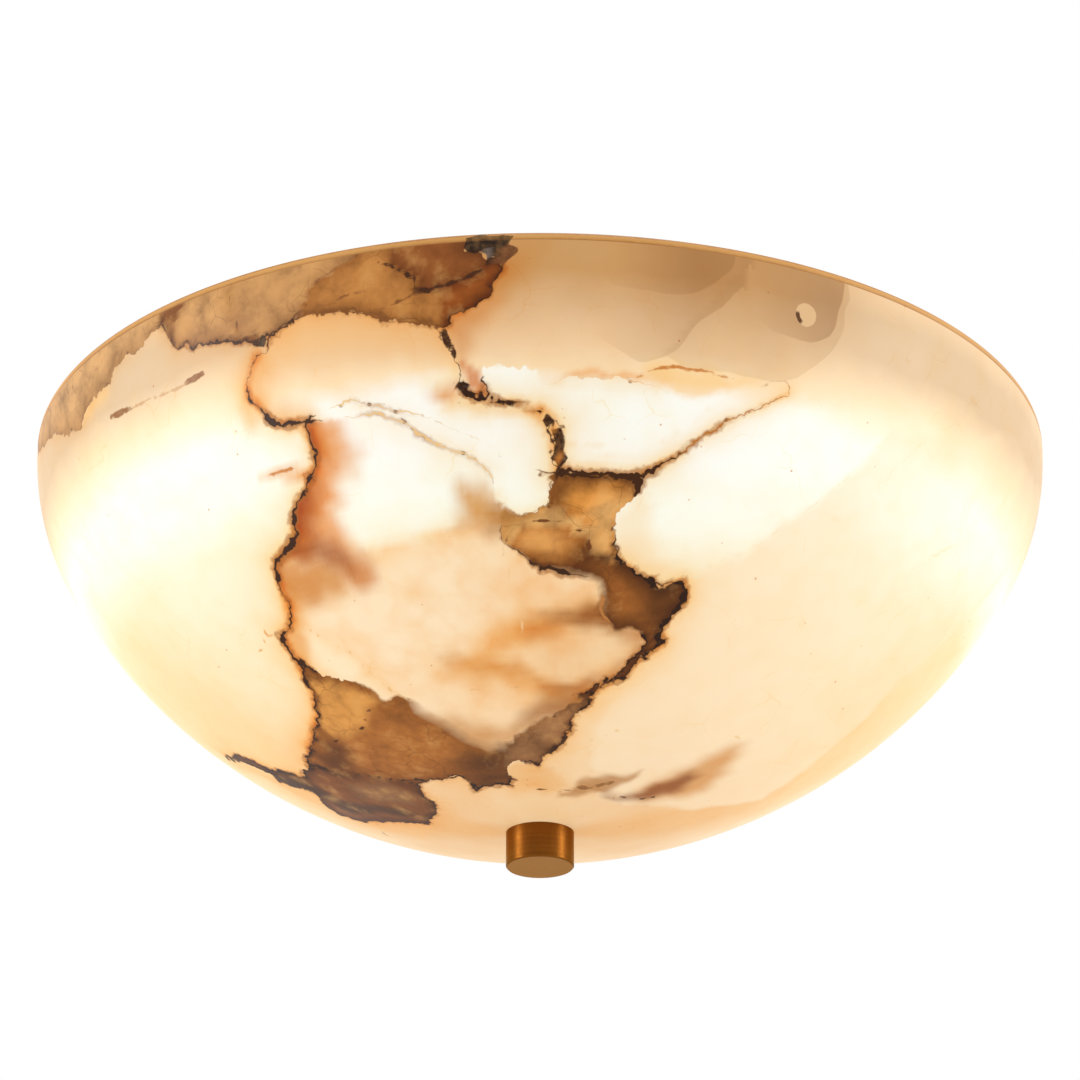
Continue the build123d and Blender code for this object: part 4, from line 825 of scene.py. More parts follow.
# Sides where one kind of stone passes softly into the next
field_top_side = [(420, 712), (440, 722), (470, 741), (492, 747)]
red_patch_side = [
    (364, 556), (376, 573), (378, 582), (372, 588), (350, 583), (335, 568), (312, 560), (290, 558)]
cell_left_side = [(500, 506), (503, 518), (500, 534), (509, 543), (520, 551)]
patch_left_side = [(566, 570), (590, 577), (601, 582), (604, 600), (597, 610)]
patch_foot_side = [(597, 610), (616, 629), (640, 631)]
smoke_wedge_side = [(514, 740), (530, 728), (545, 718), (575, 704)]
dark_wedge_side = [(172, 322), (186, 297)]
upper_island_side = [(301, 422), (350, 416), (410, 426), (450, 450), (487, 469)]
right_island_side = [(640, 384), (657, 387), (683, 398), (720, 393), (772, 383)]
right_island_end = [(536, 408), (549, 386)]
field_corner_side = [(367, 686), (387, 702), (411, 700), (420, 712)]
soft_sides = [
    (field_top_side, 5.0), (red_patch_side, 3.5), (cell_left_side, 1.6), (patch_left_side, 3.0),
    (patch_foot_side, 1.5), (smoke_wedge_side, 1.2), (dark_wedge_side, 3.0), (upper_island_side, 1.5),
    (right_island_side, 2.5), (right_island_end, 3.0), (field_corner_side, 1.2)]


# Millimetres to a pixel of the photograph, at the bowl
pixel_size = 0.396
# How near to both of two stained patches a place counts as stained, in millimetres
seam_reach = 1.8
# How far forward of the bowl's middle an outline lies, in millimetres, to be repeated on its back
back_reach = 95
# Half a pixel of a line's width, in millimetres
half_pixel = 0.2
# Starting depths inside a layer or a vein for places that lie outside all of it, in millimetres
far_outside = -40.0
no_vein = -20.0
# How far outside an outline its places still matter, in millimetres
patch_margin = 30
line_margin = 22
cloud_margin = 16
knot_margin = 12
# Outlines that are on the bowl's front alone
front_only = [middle_stone, left_edge, right_lower_field, middle_warmth]
dark_brown = (70, 42, 22)
full_softness = 0.3


def shade(colour):
    return np.array(linear(*colour)[:3])


def signed_distance(places, outline):
    """Distance to a closed outline in millimetres, positive inside it."""
    distance = edge_distances(places, outline, True)[0].min(axis=1)
    return np.where(is_inside(places, outline), distance, -distance)


def near(places, outline, margin):
    """Which places are close enough to an outline to be touched by it."""
    low = outline.min(axis=0) - margin
    high = outline.max(axis=0) + margin
    return np.flatnonzero(((places > low) & (places < high)).all(axis=1))


def both_halves(points):
    """The outline on the map, and near the rim the same turned half round for the bowl's back."""
    outline = from_photo(points)
    if points in front_only or outline[:, 1].mean() < back_reach:
        return [outline]
    return [outline, -outline]


def lay(count, start, colour):
    """A layer of stone: how far its places are inside it, their colour, and how much of the colour shows."""
    colours = np.tile(shade(colour), (count, 1))
    return {"inside": np.full(count, start), "colour": colours, "share": np.zeros(count)}


def spread(layer, places, regions):
    """Widens a layer to closed regions."""
    for points in regions:
        for outline in both_halves(points):
            near_it = near(places, outline, patch_margin)
            inside = signed_distance(places[near_it], outline)
            layer["inside"][near_it] = np.maximum(layer["inside"][near_it], inside)


def tint(layer, places, clouds):
    """Lays soft clouds of colour on a layer: outline, colour, fade in millimetres, strength.

    A cloud may have a faint end: a point of the photograph, and the pixels over which it fades up from there.
    """
    drift = np.sin(places[:, ::-1] / 4.1) * 0.9 + np.sin(places[:, ::-1] / 1.9 + places / 5.3) * 0.7
    places = places + drift
    for points, colour, fade, strength, *faint in clouds:
        for outline in both_halves(points):
            near_it = near(places, outline, cloud_margin)
            share = np.clip(signed_distance(places[near_it], outline) / (fade * 1.5) + 0.5, 0, 1)
            share = share * share * (3 - 2 * share) * strength
            for across, down, reach in faint:
                away = places[near_it] - from_photo([(across, down)])
                share = share * np.clip(np.hypot(away[:, 0], away[:, 1]) / (reach * pixel_size), 0, 1)
            old = layer["share"][near_it]
            total = share + old * (1 - share)
            keep = np.where(total > 0, share / np.maximum(total, 1e-6), 0)[:, None]
            layer["colour"][near_it] += (shade(colour) - layer["colour"][near_it]) * keep
            layer["share"][near_it] = total


def stained_layer(places):
    """The stained plates, cells and drifts: each its own colour, from its edge inwards.

    Where two of them meet, the seam between them is closed up with stain.
    """
    layer = lay(len(places), far_outside, (200, 150, 100))
    runner_up = np.full(len(places), far_outside)
    for points, edge, middle, reach in stained_patches:
        for outline in both_halves(points):
            near_it = near(places, outline, patch_margin)
            inside = signed_distance(places[near_it], outline)
            beaten = np.minimum(inside, layer["inside"][near_it])
            runner_up[near_it] = np.maximum(runner_up[near_it], beaten)
            wins = inside > layer["inside"][near_it]
            chosen = near_it[wins]
            share = np.clip(inside[wins] / reach, 0, 1)[:, None] ** 0.8
            layer["colour"][chosen] = shade(edge) + (shade(middle) - shade(edge)) * share
            layer["inside"][chosen] = inside[wins]
    layer["inside"] += np.maximum(runner_up + seam_reach, 0)
    layer["share"][:] = 1.0
    return layer


def line_fields(places, points):
    """For a line of varying width: the places near it, its half width there and their distance from it."""
    half_widths = np.array([p[2] for p in points]) * half_pixel
    for outline in both_halves(points):
        near_it = near(places, outline, line_margin)
        if len(near_it):
            distance, along, _ = edge_distances(places[near_it], outline, False)
            nearest = distance.argmin(axis=1)
            picked = np.arange(len(near_it)), nearest
            width = half_widths[:-1][nearest] + (half_widths[1:] - half_widths[:-1])[nearest] * along[picked]
            yield near_it, width, distance[picked]


def pattern_of_stone(places):
    """The stone's pattern at places of the map, as named numbers and colours for each."""
    count = len(places)
    outer = lay(count, 0.0, (220, 180, 130))
    tint(outer, places, outer_clouds)
    middle = lay(count, far_outside, (252, 224, 186))
    spread(middle, places, [middle_stone])
    tint(middle, places, middle_clouds)
    island = lay(count, far_outside, (250, 220, 170))
    spread(island, places, [upper_island, right_island])
    tint(island, places, island_clouds)
    stained = stained_layer(places)
    tint(stained, places, stain_clouds)
    line = np.zeros(count)
    line_gap = np.full(count, -far_outside)
    line_colour = np.tile(shade(dark_brown), (count, 1))
    halo = np.zeros(count)
    for points, colour, strength, reach in edge_lines:
        for near_it, width, distance in line_fields(places, points):
            wins = distance < line_gap[near_it]
            chosen = near_it[wins]
            line_gap[chosen] = distance[wins]
            line[chosen] = width[wins] * np.clip(2 - distance[wins] / 4, 0, 1)
            line_colour[chosen] = shade(colour)
            halo[near_it] = np.maximum(halo[near_it], strength * np.exp(-distance / reach / 1.5))
    vein = np.full(count, no_vein)
    vein_colour = np.tile(shade(dark_brown), (count, 1))
    for points, colour in inner_lines:
        for near_it, width, distance in line_fields(places, points):
            wins = width - distance > vein[near_it]
            vein_colour[near_it[wins]] = shade(colour)
            vein[near_it[wins]] = (width - distance)[wins]
    for points, colour in knots:
        for outline in both_halves(points):
            near_it = near(places, outline, knot_margin)
            inside = signed_distance(places[near_it], outline)
            wins = (inside > vein[near_it]) | (inside > 0)
            vein_colour[near_it[wins]] = shade(colour)
            vein[near_it[wins]] = inside[wins]
    kept = {}
    for name, cells in veils.items():
        veil = lay(count, far_outside, (255, 255, 255))
        for points, (across, down, start, full), strength in cells:
            outline = from_photo(points)
            near_it = near(places, outline, knot_margin)
            inside = signed_distance(places[near_it], outline)
            away = places[near_it] - from_photo([(across, down)])
            share = (np.hypot(away[:, 0], away[:, 1]) / pixel_size - start) / (full - start)
            share = np.clip(share, 0, 1) * strength
            wins = inside > veil["inside"][near_it]
            veil["inside"][near_it[wins]] = inside[wins]
            veil["share"][near_it[wins]] = share[wins]
        kept[name + "_inside"] = veil["inside"]
        kept[name + "_share"] = veil["share"]
    softness = np.full(count, full_softness)
    for points, width in soft_sides:
        for near_it, _, distance in line_fields(places, [(*p, 0) for p in points]):
            softness[near_it] = np.maximum(softness[near_it], width * np.clip(1.6 - distance / 6, 0, 1))
    return kept | {
        "outer_colour": outer["colour"], "outer_share": outer["share"],
        "middle_inside": middle["inside"], "middle_colour": middle["colour"], "middle_share": middle["share"],
        "island_inside": island["inside"], "island_colour": island["colour"], "island_share": island["share"],
        "stained_inside": stained["inside"], "stained_colour": stained["colour"], "halo": halo,
        "line": line, "line_colour": line_colour, "vein": vein, "vein_colour": vein_colour,
        "softness": softness}


def bowl_section():
    """The bowl's section, from the bore round the outside to the rim and back inside: radius, height, run."""
    section = [(bore_radius, inner_seat, 0.0)]
    section += [(bore_radius, outer_seat, bore_radius), (outer_seat_radius, outer_seat, outer_seat_radius)]
    start_turn = asin(outer_seat_radius / base_radius)
    for turn in np.linspace(start_turn, tangent_turn, base_rings):
        height = base_centre - base_radius * cos(turn)
        section.append((base_radius * sin(turn), height, base_radius * turn))
    base_run = base_radius * tangent_turn
    for turn in np.linspace(tangent_turn, pi / 2, shoulder_rings)[1:]:
        run = base_run + shoulder_radius * (turn - tangent_turn)
        out = shoulder_centre + shoulder_radius * sin(turn)
        section.append((out, land_height - shoulder_radius * cos(turn), run))
    for turn in np.linspace(0, pi / 2, edge_rings):
        out = bowl_radius - rim_edge + rim_edge * cos(turn)
        section.append((out, rim_height - rim_edge + rim_edge * sin(turn), rim_run + rim_edge * turn))
    inner_rim = bowl_radius - stone_wall
    for share in (0.25, 0.5, 0.75):
        out = bowl_radius - rim_edge - share * (stone_wall - 2 * rim_edge)
        section.append((out, rim_height, rim_run + rim_land_run))
    for turn in np.linspace(pi / 2, 0, edge_rings):
        out = inner_rim + rim_edge - rim_edge * cos(turn)
        section.append((out, rim_height - rim_edge + rim_edge * sin(turn), rim_run))
    inner_shoulder = shoulder_radius - stone_wall
    for turn in np.linspace(pi / 2, tangent_turn, inner_shoulder_rings):
        run = base_run + shoulder_radius * (turn - tangent_turn)
        out = shoulder_centre + inner_shoulder * sin(turn)
        section.append((out, land_height - inner_shoulder * cos(turn), run))
    inner_base = base_radius - stone_wall
    seat_turn = asin(inner_seat_radius / inner_base)
    for turn in np.linspace(tangent_turn, seat_turn, inner_base_rings)[1:]:
        section.append((inner_base * sin(turn), base_centre - inner_base * cos(turn), base_radius * turn))
    section.append((inner_seat_radius, inner_seat, inner_seat_radius))
    return section


def turned_mesh(name, section, around):
    """A closed section turned about the light's axis."""
    rings = len(section)
    turn = np.arange(around) / around * tau
    radius = np.array([p[0] for p in section])
    height = np.array([p[1] for p in section])
    x = radius[:, None] * np.sin(turn)
    y = -radius[:, None] * np.cos(turn)
    z = np.repeat(height[:, None], around, axis=1)
    corners = np.stack([x, y, z], axis=-1).reshape(-1, 3)
    ring = np.arange(rings)[:, None]
    step = np.arange(around)
    here = ring * around + step
    aside = ring * around + (step + 1) % around
    above = (ring + 1) % rings * around
    faces = np.stack([here, aside, above + (step + 1) % around, above + step], axis=-1).reshape(-1, 4)
    mesh = bpy.data.meshes.new(name)
    mesh.from_pydata(corners.tolist(), [], faces.tolist())
    mesh.update()
    return mesh


def stone_mesh():
    """The bowl's mesh with the stone's pattern kept on its points."""
    section = bowl_section()
    mesh = turned_mesh("alabaster_bowl", section, turns_around)
    turn = np.arange(turns_around) / turns_around * tau
    run = np.array([p[2] for p in section])
    places = np.stack([run[:, None] * np.sin(turn), run[:, None] * np.cos(turn)], axis=-1)
    places = places.reshape(-1, 2) * 1000
    for name, values in pattern_of_stone(places).items():
        kind = "FLOAT_VECTOR" if values.ndim == 2 else "FLOAT"
        kept = mesh.attributes.new(name, kind, "POINT")
        kept.data.foreach_set("vector" if values.ndim == 2 else "value", values.astype(np.float32).ravel())
    return mesh


# Tones of painted shade down the rim's outer strip, as shares of its width
rim_shade_stops = [
    (0.0, linear(146, 90, 38)), (0.25, linear(172, 110, 50)), (0.45, linear(214, 160, 92)),
    (0.75, linear(198, 140, 74)), (0.92, linear(150, 96, 46)), (1.0, linear(170, 116, 60))]

# Tones of the clear stone as painted light, the inner lamp's glow through it, dim and amber at the rim above
# the light and brightest below it, and where they come down the bowl, as shares of this reach from the rim, in
# mm
tone_reach = 160
lamp_white = linear(255, 254, 247)
warm_white = linear(254, 254, 238)
ivory = linear(254, 242, 212)
peach = linear(254, 226, 184)
deep_peach = linear(244, 202, 152)
sand = linear(245, 208, 164)
tan = linear(230, 189, 143)
grey_tan = linear(222, 191, 152)
pale_peach = linear(254, 234, 198)
unlit_rim_amber = linear(207, 157, 101)
front_painted_light_stops = [
    (0.00, unlit_rim_amber), (0.08, unlit_rim_amber), (0.18, tan), (0.25, sand), (0.29, peach), (0.33, lamp_white),
    (0.42, lamp_white), (0.55, warm_white), (0.65, ivory), (0.80, peach), (1.00, deep_peach)]
# The side tones are painted light and shade of their own, used on the bowl's left and right
side_painted_light_stops = [
    (0.00, sand), (0.08, grey_tan), (0.17, grey_tan), (0.25, peach), (0.30, ivory), (0.35, warm_white),
    (0.44, warm_white), (0.53, ivory), (0.64, pale_peach), (0.80, peach), (0.94, deep_peach)]


def kept_value(finish, name):
    return finish.node("ShaderNodeAttribute", {"attribute_name": name})[2]


def kept_colour(finish, name):
    return finish.node("ShaderNodeAttribute", {"attribute_name": name})[0]


# Places of the chip and of the painted shade at its dark edge on the bowl in metres, and the chip's radius in
# millimetres
chip_spot = tuple(met_by([chip_pixel])[0])
chip_shade_spot = tuple(met_by([chip_shade_pixel])[0])
chip_size = 4.3

# The rim's flat strip that shows painted shade: how far down it comes and how far in, in metres
strip_height = 0.0034
strip_width = 0.006

# Sizes of what the stone's noise makes, in metres: lumps, grain, teeth, cracks and specks
drift_size = 0.045
haze_size = 0.013
grain_size = 0.0024
fleck_size = 0.0055
tooth_size = 0.0040
small_tooth_size = 0.0019
wander_size = 0.010
shake_size = 0.016
shake_amount = 0.014
scale_size = 0.011
crack_gap = 0.021
fine_crack_gap = 0.009
patch_size = 0.019
speck_gap = 0.0085
bead_size = 0.006

# Tones laid over the stone
flank_shade_tone = linear(252, 232, 198)
stain_dark = linear(72, 36, 12)
stain_light = linear(244, 194, 130)
stain_crack = linear(84, 44, 18)
stain_glaze = linear(246, 234, 208)
smoke_tone = linear(246, 208, 156)
cloud_tone = linear(254, 238, 200)
hair_tone = linear(250, 220, 150)
speck_tone = linear(214, 140, 66)
halo_tone = linear(250, 214, 152)
halo_core = linear(236, 166, 88)
fringe_outside = linear(166, 98, 38)
fringe_inside = linear(80, 42, 16)
bead_tone = linear(104, 56, 22)
chip_tone = linear(232, 192, 142)
chip_shade_tone = linear(96, 60, 30)
rim_shade_tone = linear(226, 172, 108)
veil_tones = {
    "outer_veil": linear(242, 238, 232),
    "inner_veil": linear(224, 214, 204),
    "upper_veil": linear(226, 216, 208)}
# How strongly the stone's painted glow shines
painted_glow_strength = 0.66


def stone_finish():
    """Alabaster lit from inside, its glow painted light in the emission: cream lobes with toothed edges, brown
    and red stains, black veins.
    """
    stone = new_finish("lit_alabaster")
    x, y, z = stone.split(stone.place())
    depth = (rim_height - z) * 1000
    out = (x * x + y * y).power(0.5)
    drift = stone.noise(drift_size, 3.0)
    haze = stone.noise(haze_size, 4.0)
    grain = stone.noise(grain_size, 3.0)
    # The clear stone's colour is painted light: the inner lamp's glow by depth, front tones on the front and
    # back, side tones on the left and right
    level = depth + (drift - 0.5) * 12 + (haze - 0.5) * 6
    frontal = abs(y) / out.at_least(0.001)
    front_light_share = frontal.rising(0.74, 0.96)
    side = stone.ramp(level / tone_reach, side_painted_light_stops)
    clear = stone.blend(front_light_share, side, stone.ramp(level / tone_reach, front_painted_light_stops))
    # Painted shade: the bowl's left and right sides toned down to cream below about 52 to 84 mm under the rim
    flank_shade = (1.0 - frontal.rising(0.1, 0.62)) * depth.rising(52, 84)
    clear = stone.blend(flank_shade * 0.8, clear, flank_shade_tone, "MULTIPLY")

    softness = kept_value(stone, "softness")
    toothed = 1.0 / (1.0 + softness * 0.6)
    tips = stone.cells(tooth_size)
    teeth = (tips - 0.45) * 2.8 + (stone.cells(small_tooth_size) - 0.45) * 1.6
    wander = (stone.noise(wander_size, 2.0) - 0.5) * 2.4
    shift = (teeth + wander) * toothed

    def cut(name):
        inside = kept_value(stone, name) + shift
        return inside, (inside / (softness * 1.4) + 0.5).clamped()

    def sheet(name):
        share = kept_value(stone, name + "_share") * (0.86 + haze * 0.28)
        return stone.blend(share.clamped(), clear, kept_colour(stone, name + "_colour"))

    loose = stone.shaken(shake_size, shake_amount)
    scales = stone.cells(scale_size, loose)
    hair = 1.0 - stone.cracks(crack_gap, loose).rising(0.03, 0.28)
    fine_hair = 1.0 - stone.cracks(fine_crack_gap, loose).rising(0.04, 0.3)
    here_and_there = stone.noise(patch_size, 2.0, 0.6)
    specks = (1.0 - stone.cells(speck_gap).rising(0.03, 0.065)) * here_and_there.rising(0.42, 0.55)

    stain = kept_colour(stone, "stained_colour")
    flecks = stone.noise(fleck_size, 3.0) - 0.5
    mottle = (haze - 0.5) * 0.5 + (grain - 0.5) * 0.35 + flecks * 0.3 + (0.42 - scales) * 0.5
    stain = stone.blend((0.0 - mottle * 1.3).clamped(), stain, stain_dark)
    stain = stone.blend((mottle * 1.2).clamped(), stain, stain_light)
    stain = stone.blend(fine_hair * here_and_there.rising(0.4, 0.65) * 0.35, stain, stain_crack)
    stain = stone.blend(1.0, stain, stain_glaze, "MULTIPLY")
    middle_edge_gap, in_middle = cut("middle_inside")
    island_edge_gap, in_island = cut("island_inside")
    stained_edge_gap, in_stained = cut("stained_inside")
    body = stone.blend(in_middle, sheet("outer"), sheet("middle"))
    smoke = ((haze - 0.46) * 1.8 + (drift - 0.46) * 2.0 + (scales - 0.4) * 0.9).clamped()
    smoke = smoke * in_middle * kept_value(stone, "middle_share")
    body = stone.blend(smoke * 0.42, body, smoke_tone, "MULTIPLY")
    body = stone.blend(in_island, body, sheet("island"))
    smooth_shift = wander * 0.5
    for name, tone in veil_tones.items():
        within = (kept_value(stone, name + "_inside") + smooth_shift).rising(-0.25, 0.35)
        body = stone.blend(within * kept_value(stone, name + "_share"), body, tone, "MULTIPLY")
    cloud = ((here_and_there - 0.42) * 1.2 + (scales - 0.4) * 0.5 + (haze - 0.5) * 0.8).clamped()
    body = stone.blend(cloud * 0.4, body, cloud_tone, "MULTIPLY")
    body = stone.blend(hair * here_and_there.rising(0.45, 0.7) * 0.3, body, hair_tone, "MULTIPLY")
    body = stone.blend(specks * 0.75, body, speck_tone, "MULTIPLY")
    halo = kept_value(stone, "halo") * (0.55 + haze * 0.9)
    body = stone.blend((halo * 1.3).clamped(), body, halo_tone, "MULTIPLY")
    body = stone.blend(((halo - 0.5) * 2.0).clamped(), body, halo_core, "MULTIPLY")
    body = stone.blend(in_stained, body, stain)

    gap = abs(middle_edge_gap).at_most(abs(island_edge_gap)).at_most(abs(stained_edge_gap))
    patchy = stone.noise(bead_size, 2.0)
    width = kept_value(stone, "line")
    lined = width.rising(0.02, 0.15)
    fringe = (width * patchy * 4.0 + 0.3 - gap).rising(-0.9, 1.0) * width.rising(0.15, 0.6)
    body = stone.blend(fringe * (1.0 - in_stained) * 0.7, body, fringe_outside)
    body = stone.blend(fringe * in_stained * 0.5, body, fringe_inside)
    line = (width * (patchy * 3.4 - 0.95).at_least(0.1) - gap).rising(-0.25, 0.3) * lined
    beads = (1.0 - tips.rising(0.12, 0.3)) * (1.0 - gap.rising(0.5, 1.1)) * lined * 0.8
    body = stone.blend(beads, body, bead_tone)
    body = stone.blend(line, body, kept_colour(stone, "line_colour"))
    vein = kept_value(stone, "vein") + wander * 0.35 + teeth * 0.35
    solid = vein.rising(-0.35, 0.35) * (0.7 + grain * 0.5)
    body = stone.blend(solid.clamped(), body, kept_colour(stone, "vein_colour"))

    from_chip = stone.distance(chip_spot)
    chip = 1.0 - (from_chip + (grain - 0.5) * 0.8).rising(chip_size - 0.2, chip_size + 0.2)
    # Painted shade along one side of the chip, inside its hollow
    near_chip_shade = 1.0 - stone.distance(chip_shade_spot).rising(1.8, 3.0)
    chip_shade = chip * (from_chip + grain).rising(2.9, 3.4) * near_chip_shade
    body = stone.blend(chip * 0.75, body, chip_tone)
    body = stone.blend(chip_shade, body, chip_shade_tone)
    # Painted shade down the rim's outer strip, lighter in places, except over dark veins
    rim_shade_mask = (z - (rim_height - strip_height)).rising(0.0, 0.0003)
    rim_shade_mask = rim_shade_mask * (out - (bowl_radius - strip_width)).rising(0.0, 0.001) * (1.0 - solid.clamped() * 0.8)
    strip = stone.ramp(depth / (strip_height * 1000) + (grain - 0.5) * 0.2, rim_shade_stops)
    strip = stone.blend((drift - 0.3).clamped(), strip, rim_shade_tone)
    body = stone.blend(rim_shade_mask * 0.92, body, strip)

    # The base colour is the emitted colour, painted light included, dimmed to 0.3 of it
    dark = stone.blend(0.7, body, (0.0, 0.0, 0.0, 1.0))
    dull = haze * 0.12 + grain * 0.06 + 0.34
    height = haze * 0.6 + grain * 0.2 - solid * 0.3 - chip * 1.5
    normal = stone.bump(height, 0.0002, 0.25)
    return stone.surface(
        Base_Color=dark, Roughness=dull, Normal=normal, Specular_IOR_Level=0.12, Emission_Color=body,
        Emission_Strength=painted_glow_strength)


def rough_finish(name, colour, other, grain, roughness, metal=0.0, glow=0.0, stretch=None, depth=0.0001):
    """A finish with two tones of a colour in fine grain, a little relief, and roughness that varies."""
    finish = new_finish(name)
    fine = finish.noise(grain, 3.0, stretch=stretch)
    broad = finish.noise(0.03, 2.0)
    tone = finish.blend((fine * 0.6 + broad * 0.4).clamped(), linear(*colour), linear(*other))
    dull = (fine - 0.5) * 0.16 + (broad - 0.5) * 0.10 + roughness
    normal = finish.bump(fine, depth, 0.35)
    extra = {"Emission_Color": tone, "Emission_Strength": glow} if glow else {}
    return finish.surface(Base_Color=tone, Roughness=dull.clamped(), Metallic=metal, Normal=normal, **extra)


def dress(material, *names):
    """Gives CAD nodes a finish."""
    for name in names:
        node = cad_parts[name]
        for slot in node.material_slots:
            slot.material = material


stone_bowl = to_piece("alabaster_bowl", stone_mesh(), stone_finish(), "bowl")
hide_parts("stone_bowl")


# Painted reflection on the finial's flat foot, which shows paler than its sides
painted_foot_light = linear(186, 136, 88)


def turned_finish(name, colour, other, roughness, centre=(0.0, 0.0), pitch=0.0, relief=0.00002,
                    edge=(1, 1, 1, 1), face_height=0.0):
    """Turned metal: fine rings round an axis, wear, a thread if it has a pitch, a painted reflection paling the
    foot at face_height.
    """
    finish = new_finish(name)
    x, y, z = finish.split(finish.place())
    x, y = x - centre[0], y - centre[1]
    out = (x * x + y * y).power(0.5)
    ring_place = finish.node("ShaderNodeCombineXYZ", values={0: out, 1: 0.0, 2: z})[0]
    rings = finish.noise(0.00035, 3.0, place=ring_place)
    broad = finish.noise(0.0016, 2.0, place=ring_place)
    wear = finish.noise(0.009, 4.0)
    grime = finish.noise(0.0012, 3.0)
    tone = (rings * 0.35 + broad * 0.25 + wear * 0.3 + grime * 0.1 - 0.5) * 1.8 + 0.5
    tint = finish.blend(tone.clamped(), linear(*colour), linear(*other))
    dull = (wear - 0.5) * 0.10 + (rings - 0.5) * 0.10 + roughness
    height = rings + broad * 0.4
    normal = finish.bump(height, relief, 0.6)
    if pitch:
        wave = (z * (tau / pitch) + y.maths("ARCTAN2", x)).maths("SINE")
        normal = finish.bump(wave, pitch * 0.16, 1.0, normal)
    # Painted reflection: the foot paler at and below face_height
    if face_height:
        foot_share = 1.0 - z.rising(face_height, face_height + 0.0003)
        tint = finish.blend(foot_share * 0.6, tint, painted_foot_light)
    return finish.surface(
        Base_Color=tint, Roughness=dull.clamped(), Metallic=1.0, Specular_Tint=edge, Normal=normal)


def plated_finish(name, colour, other, roughness):
    """Zinc on pressed steel: spangles, drag marks and dull patches."""
    finish = new_finish(name)
    spangle = finish.cells(0.0032, finish.shaken(0.004, 0.003))
    fine = finish.noise(0.0009, 3.0)
    drag = finish.noise(0.0012, 2.0, stretch=(1.0, 0.08, 1.0))
    broad = finish.noise(0.014, 3.0)
    tone = (spangle * 0.5 + drag * 0.3 + broad * 0.5 - 0.15).clamped()
    dull = spangle * 0.12 + (broad - 0.5) * 0.2 + (drag - 0.5) * 0.1 + roughness
    normal = finish.bump(fine * 0.5 + drag * 0.5, 0.00003, 0.5)
    tint = finish.blend(tone, linear(*colour), linear(*other))
    return finish.surface(Base_Color=tint, Roughness=dull.clamped(), Metallic=1.0, Normal=normal)


def coated_finish(name, colour, other, roughness):
    """Powder coat: orange peel, faint specks and a little dust."""
    finish = new_finish(name)
    peel = finish.noise(0.0017, 2.0)
    fine = finish.noise(0.0005, 2.0)
    dust = finish.noise(0.02, 4.0)
    specks = 1.0 - finish.cells(0.006).rising(0.02, 0.05)
    tint = finish.blend((dust * 0.5 + fine * 0.3).clamped(), linear(*colour), linear(*other))
    tint = finish.blend(specks * 0.35, tint, linear(150, 146, 138))
    dull = (dust - 0.5) * 0.16 + (peel - 0.5) * 0.08 + roughness
    normal = finish.bump(peel + fine * 0.2, 0.00012, 0.45)
    return finish.surface(Base_Color=tint, Roughness=dull.clamped(), Normal=normal)


finial_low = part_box("finial")[0].z
warm_edge = linear(250, 222, 190)
knob_reach = 0.052
old_brass = (158, 108, 52)
old_brass_dark = (118, 76, 32)
new_brass = (196, 152, 84)

dress(
    turned_finish("antique_brass", (146, 90, 34), (88, 50, 13), 0.3, edge=warm_edge, face_height=finial_low),
    "finial")
dress(
    turned_finish("left_knob_brass", old_brass, old_brass_dark, 0.28, (-knob_reach, 0.0), edge=warm_edge),
    "canopy_knob_left")
dress(
    turned_finish("right_knob_brass", old_brass, old_brass_dark, 0.28, (knob_reach, 0.0), edge=warm_edge),
    "canopy_knob_right")
dress(
    turned_finish("cap_brass", (156, 108, 54), (118, 76, 34), 0.32, edge=warm_edge),
    "canopy", "stem_tube")
dress(turned_finish("turned_brass", new_brass, (160, 118, 60), 0.24), "rod_coupler")
dress(turned_finish("threaded_brass", new_brass, (150, 110, 56), 0.26, pitch=0.00094), "nipple")
dress(
    turned_finish("threaded_rod", (196, 198, 196), (150, 152, 152), 0.28, pitch=0.00125),
    "center_rod", "canopy_studs")
dress(
    turned_finish("nut_steel", (190, 192, 192), (150, 152, 154), 0.26),
    "nipple_nut", "nipple_lock_washer", "diffuser_nut", "seat_nut", "seat_washer")
dress(coated_finish("white_powder_coat", (233, 232, 226), (216, 214, 206), 0.44), "led_housing")
dress(
    plated_finish("zinc_plate", (196, 198, 196), (150, 154, 158), 0.24),
    "mounting_bracket", "stud_lock_nuts", "housing_washer", "plate_screws", "board_screws",
    "driver_screws", "earth_screw", "earth_nut")
dress(rough_finish("green_screw", (30, 118, 62), (18, 88, 46), 0.0012, 0.34, 0.4), "ground_screw")
dress(
    rough_finish("rolled_aluminium", (198, 200, 202), (172, 175, 178), 0.0014, 0.34, 1.0,
        stretch=(1, 18, 1)),
    "led_plate")
# The board's glow is painted light from its LEDs
dress(
    rough_finish("white_board_mask", (236, 236, 230), (222, 222, 214), 0.0012, 0.38, glow=0.35),
    "led_board")
dress(rough_finish("led_phosphor", (255, 226, 120), (250, 208, 84), 0.0008, 0.4, glow=1.4), "led_chips")
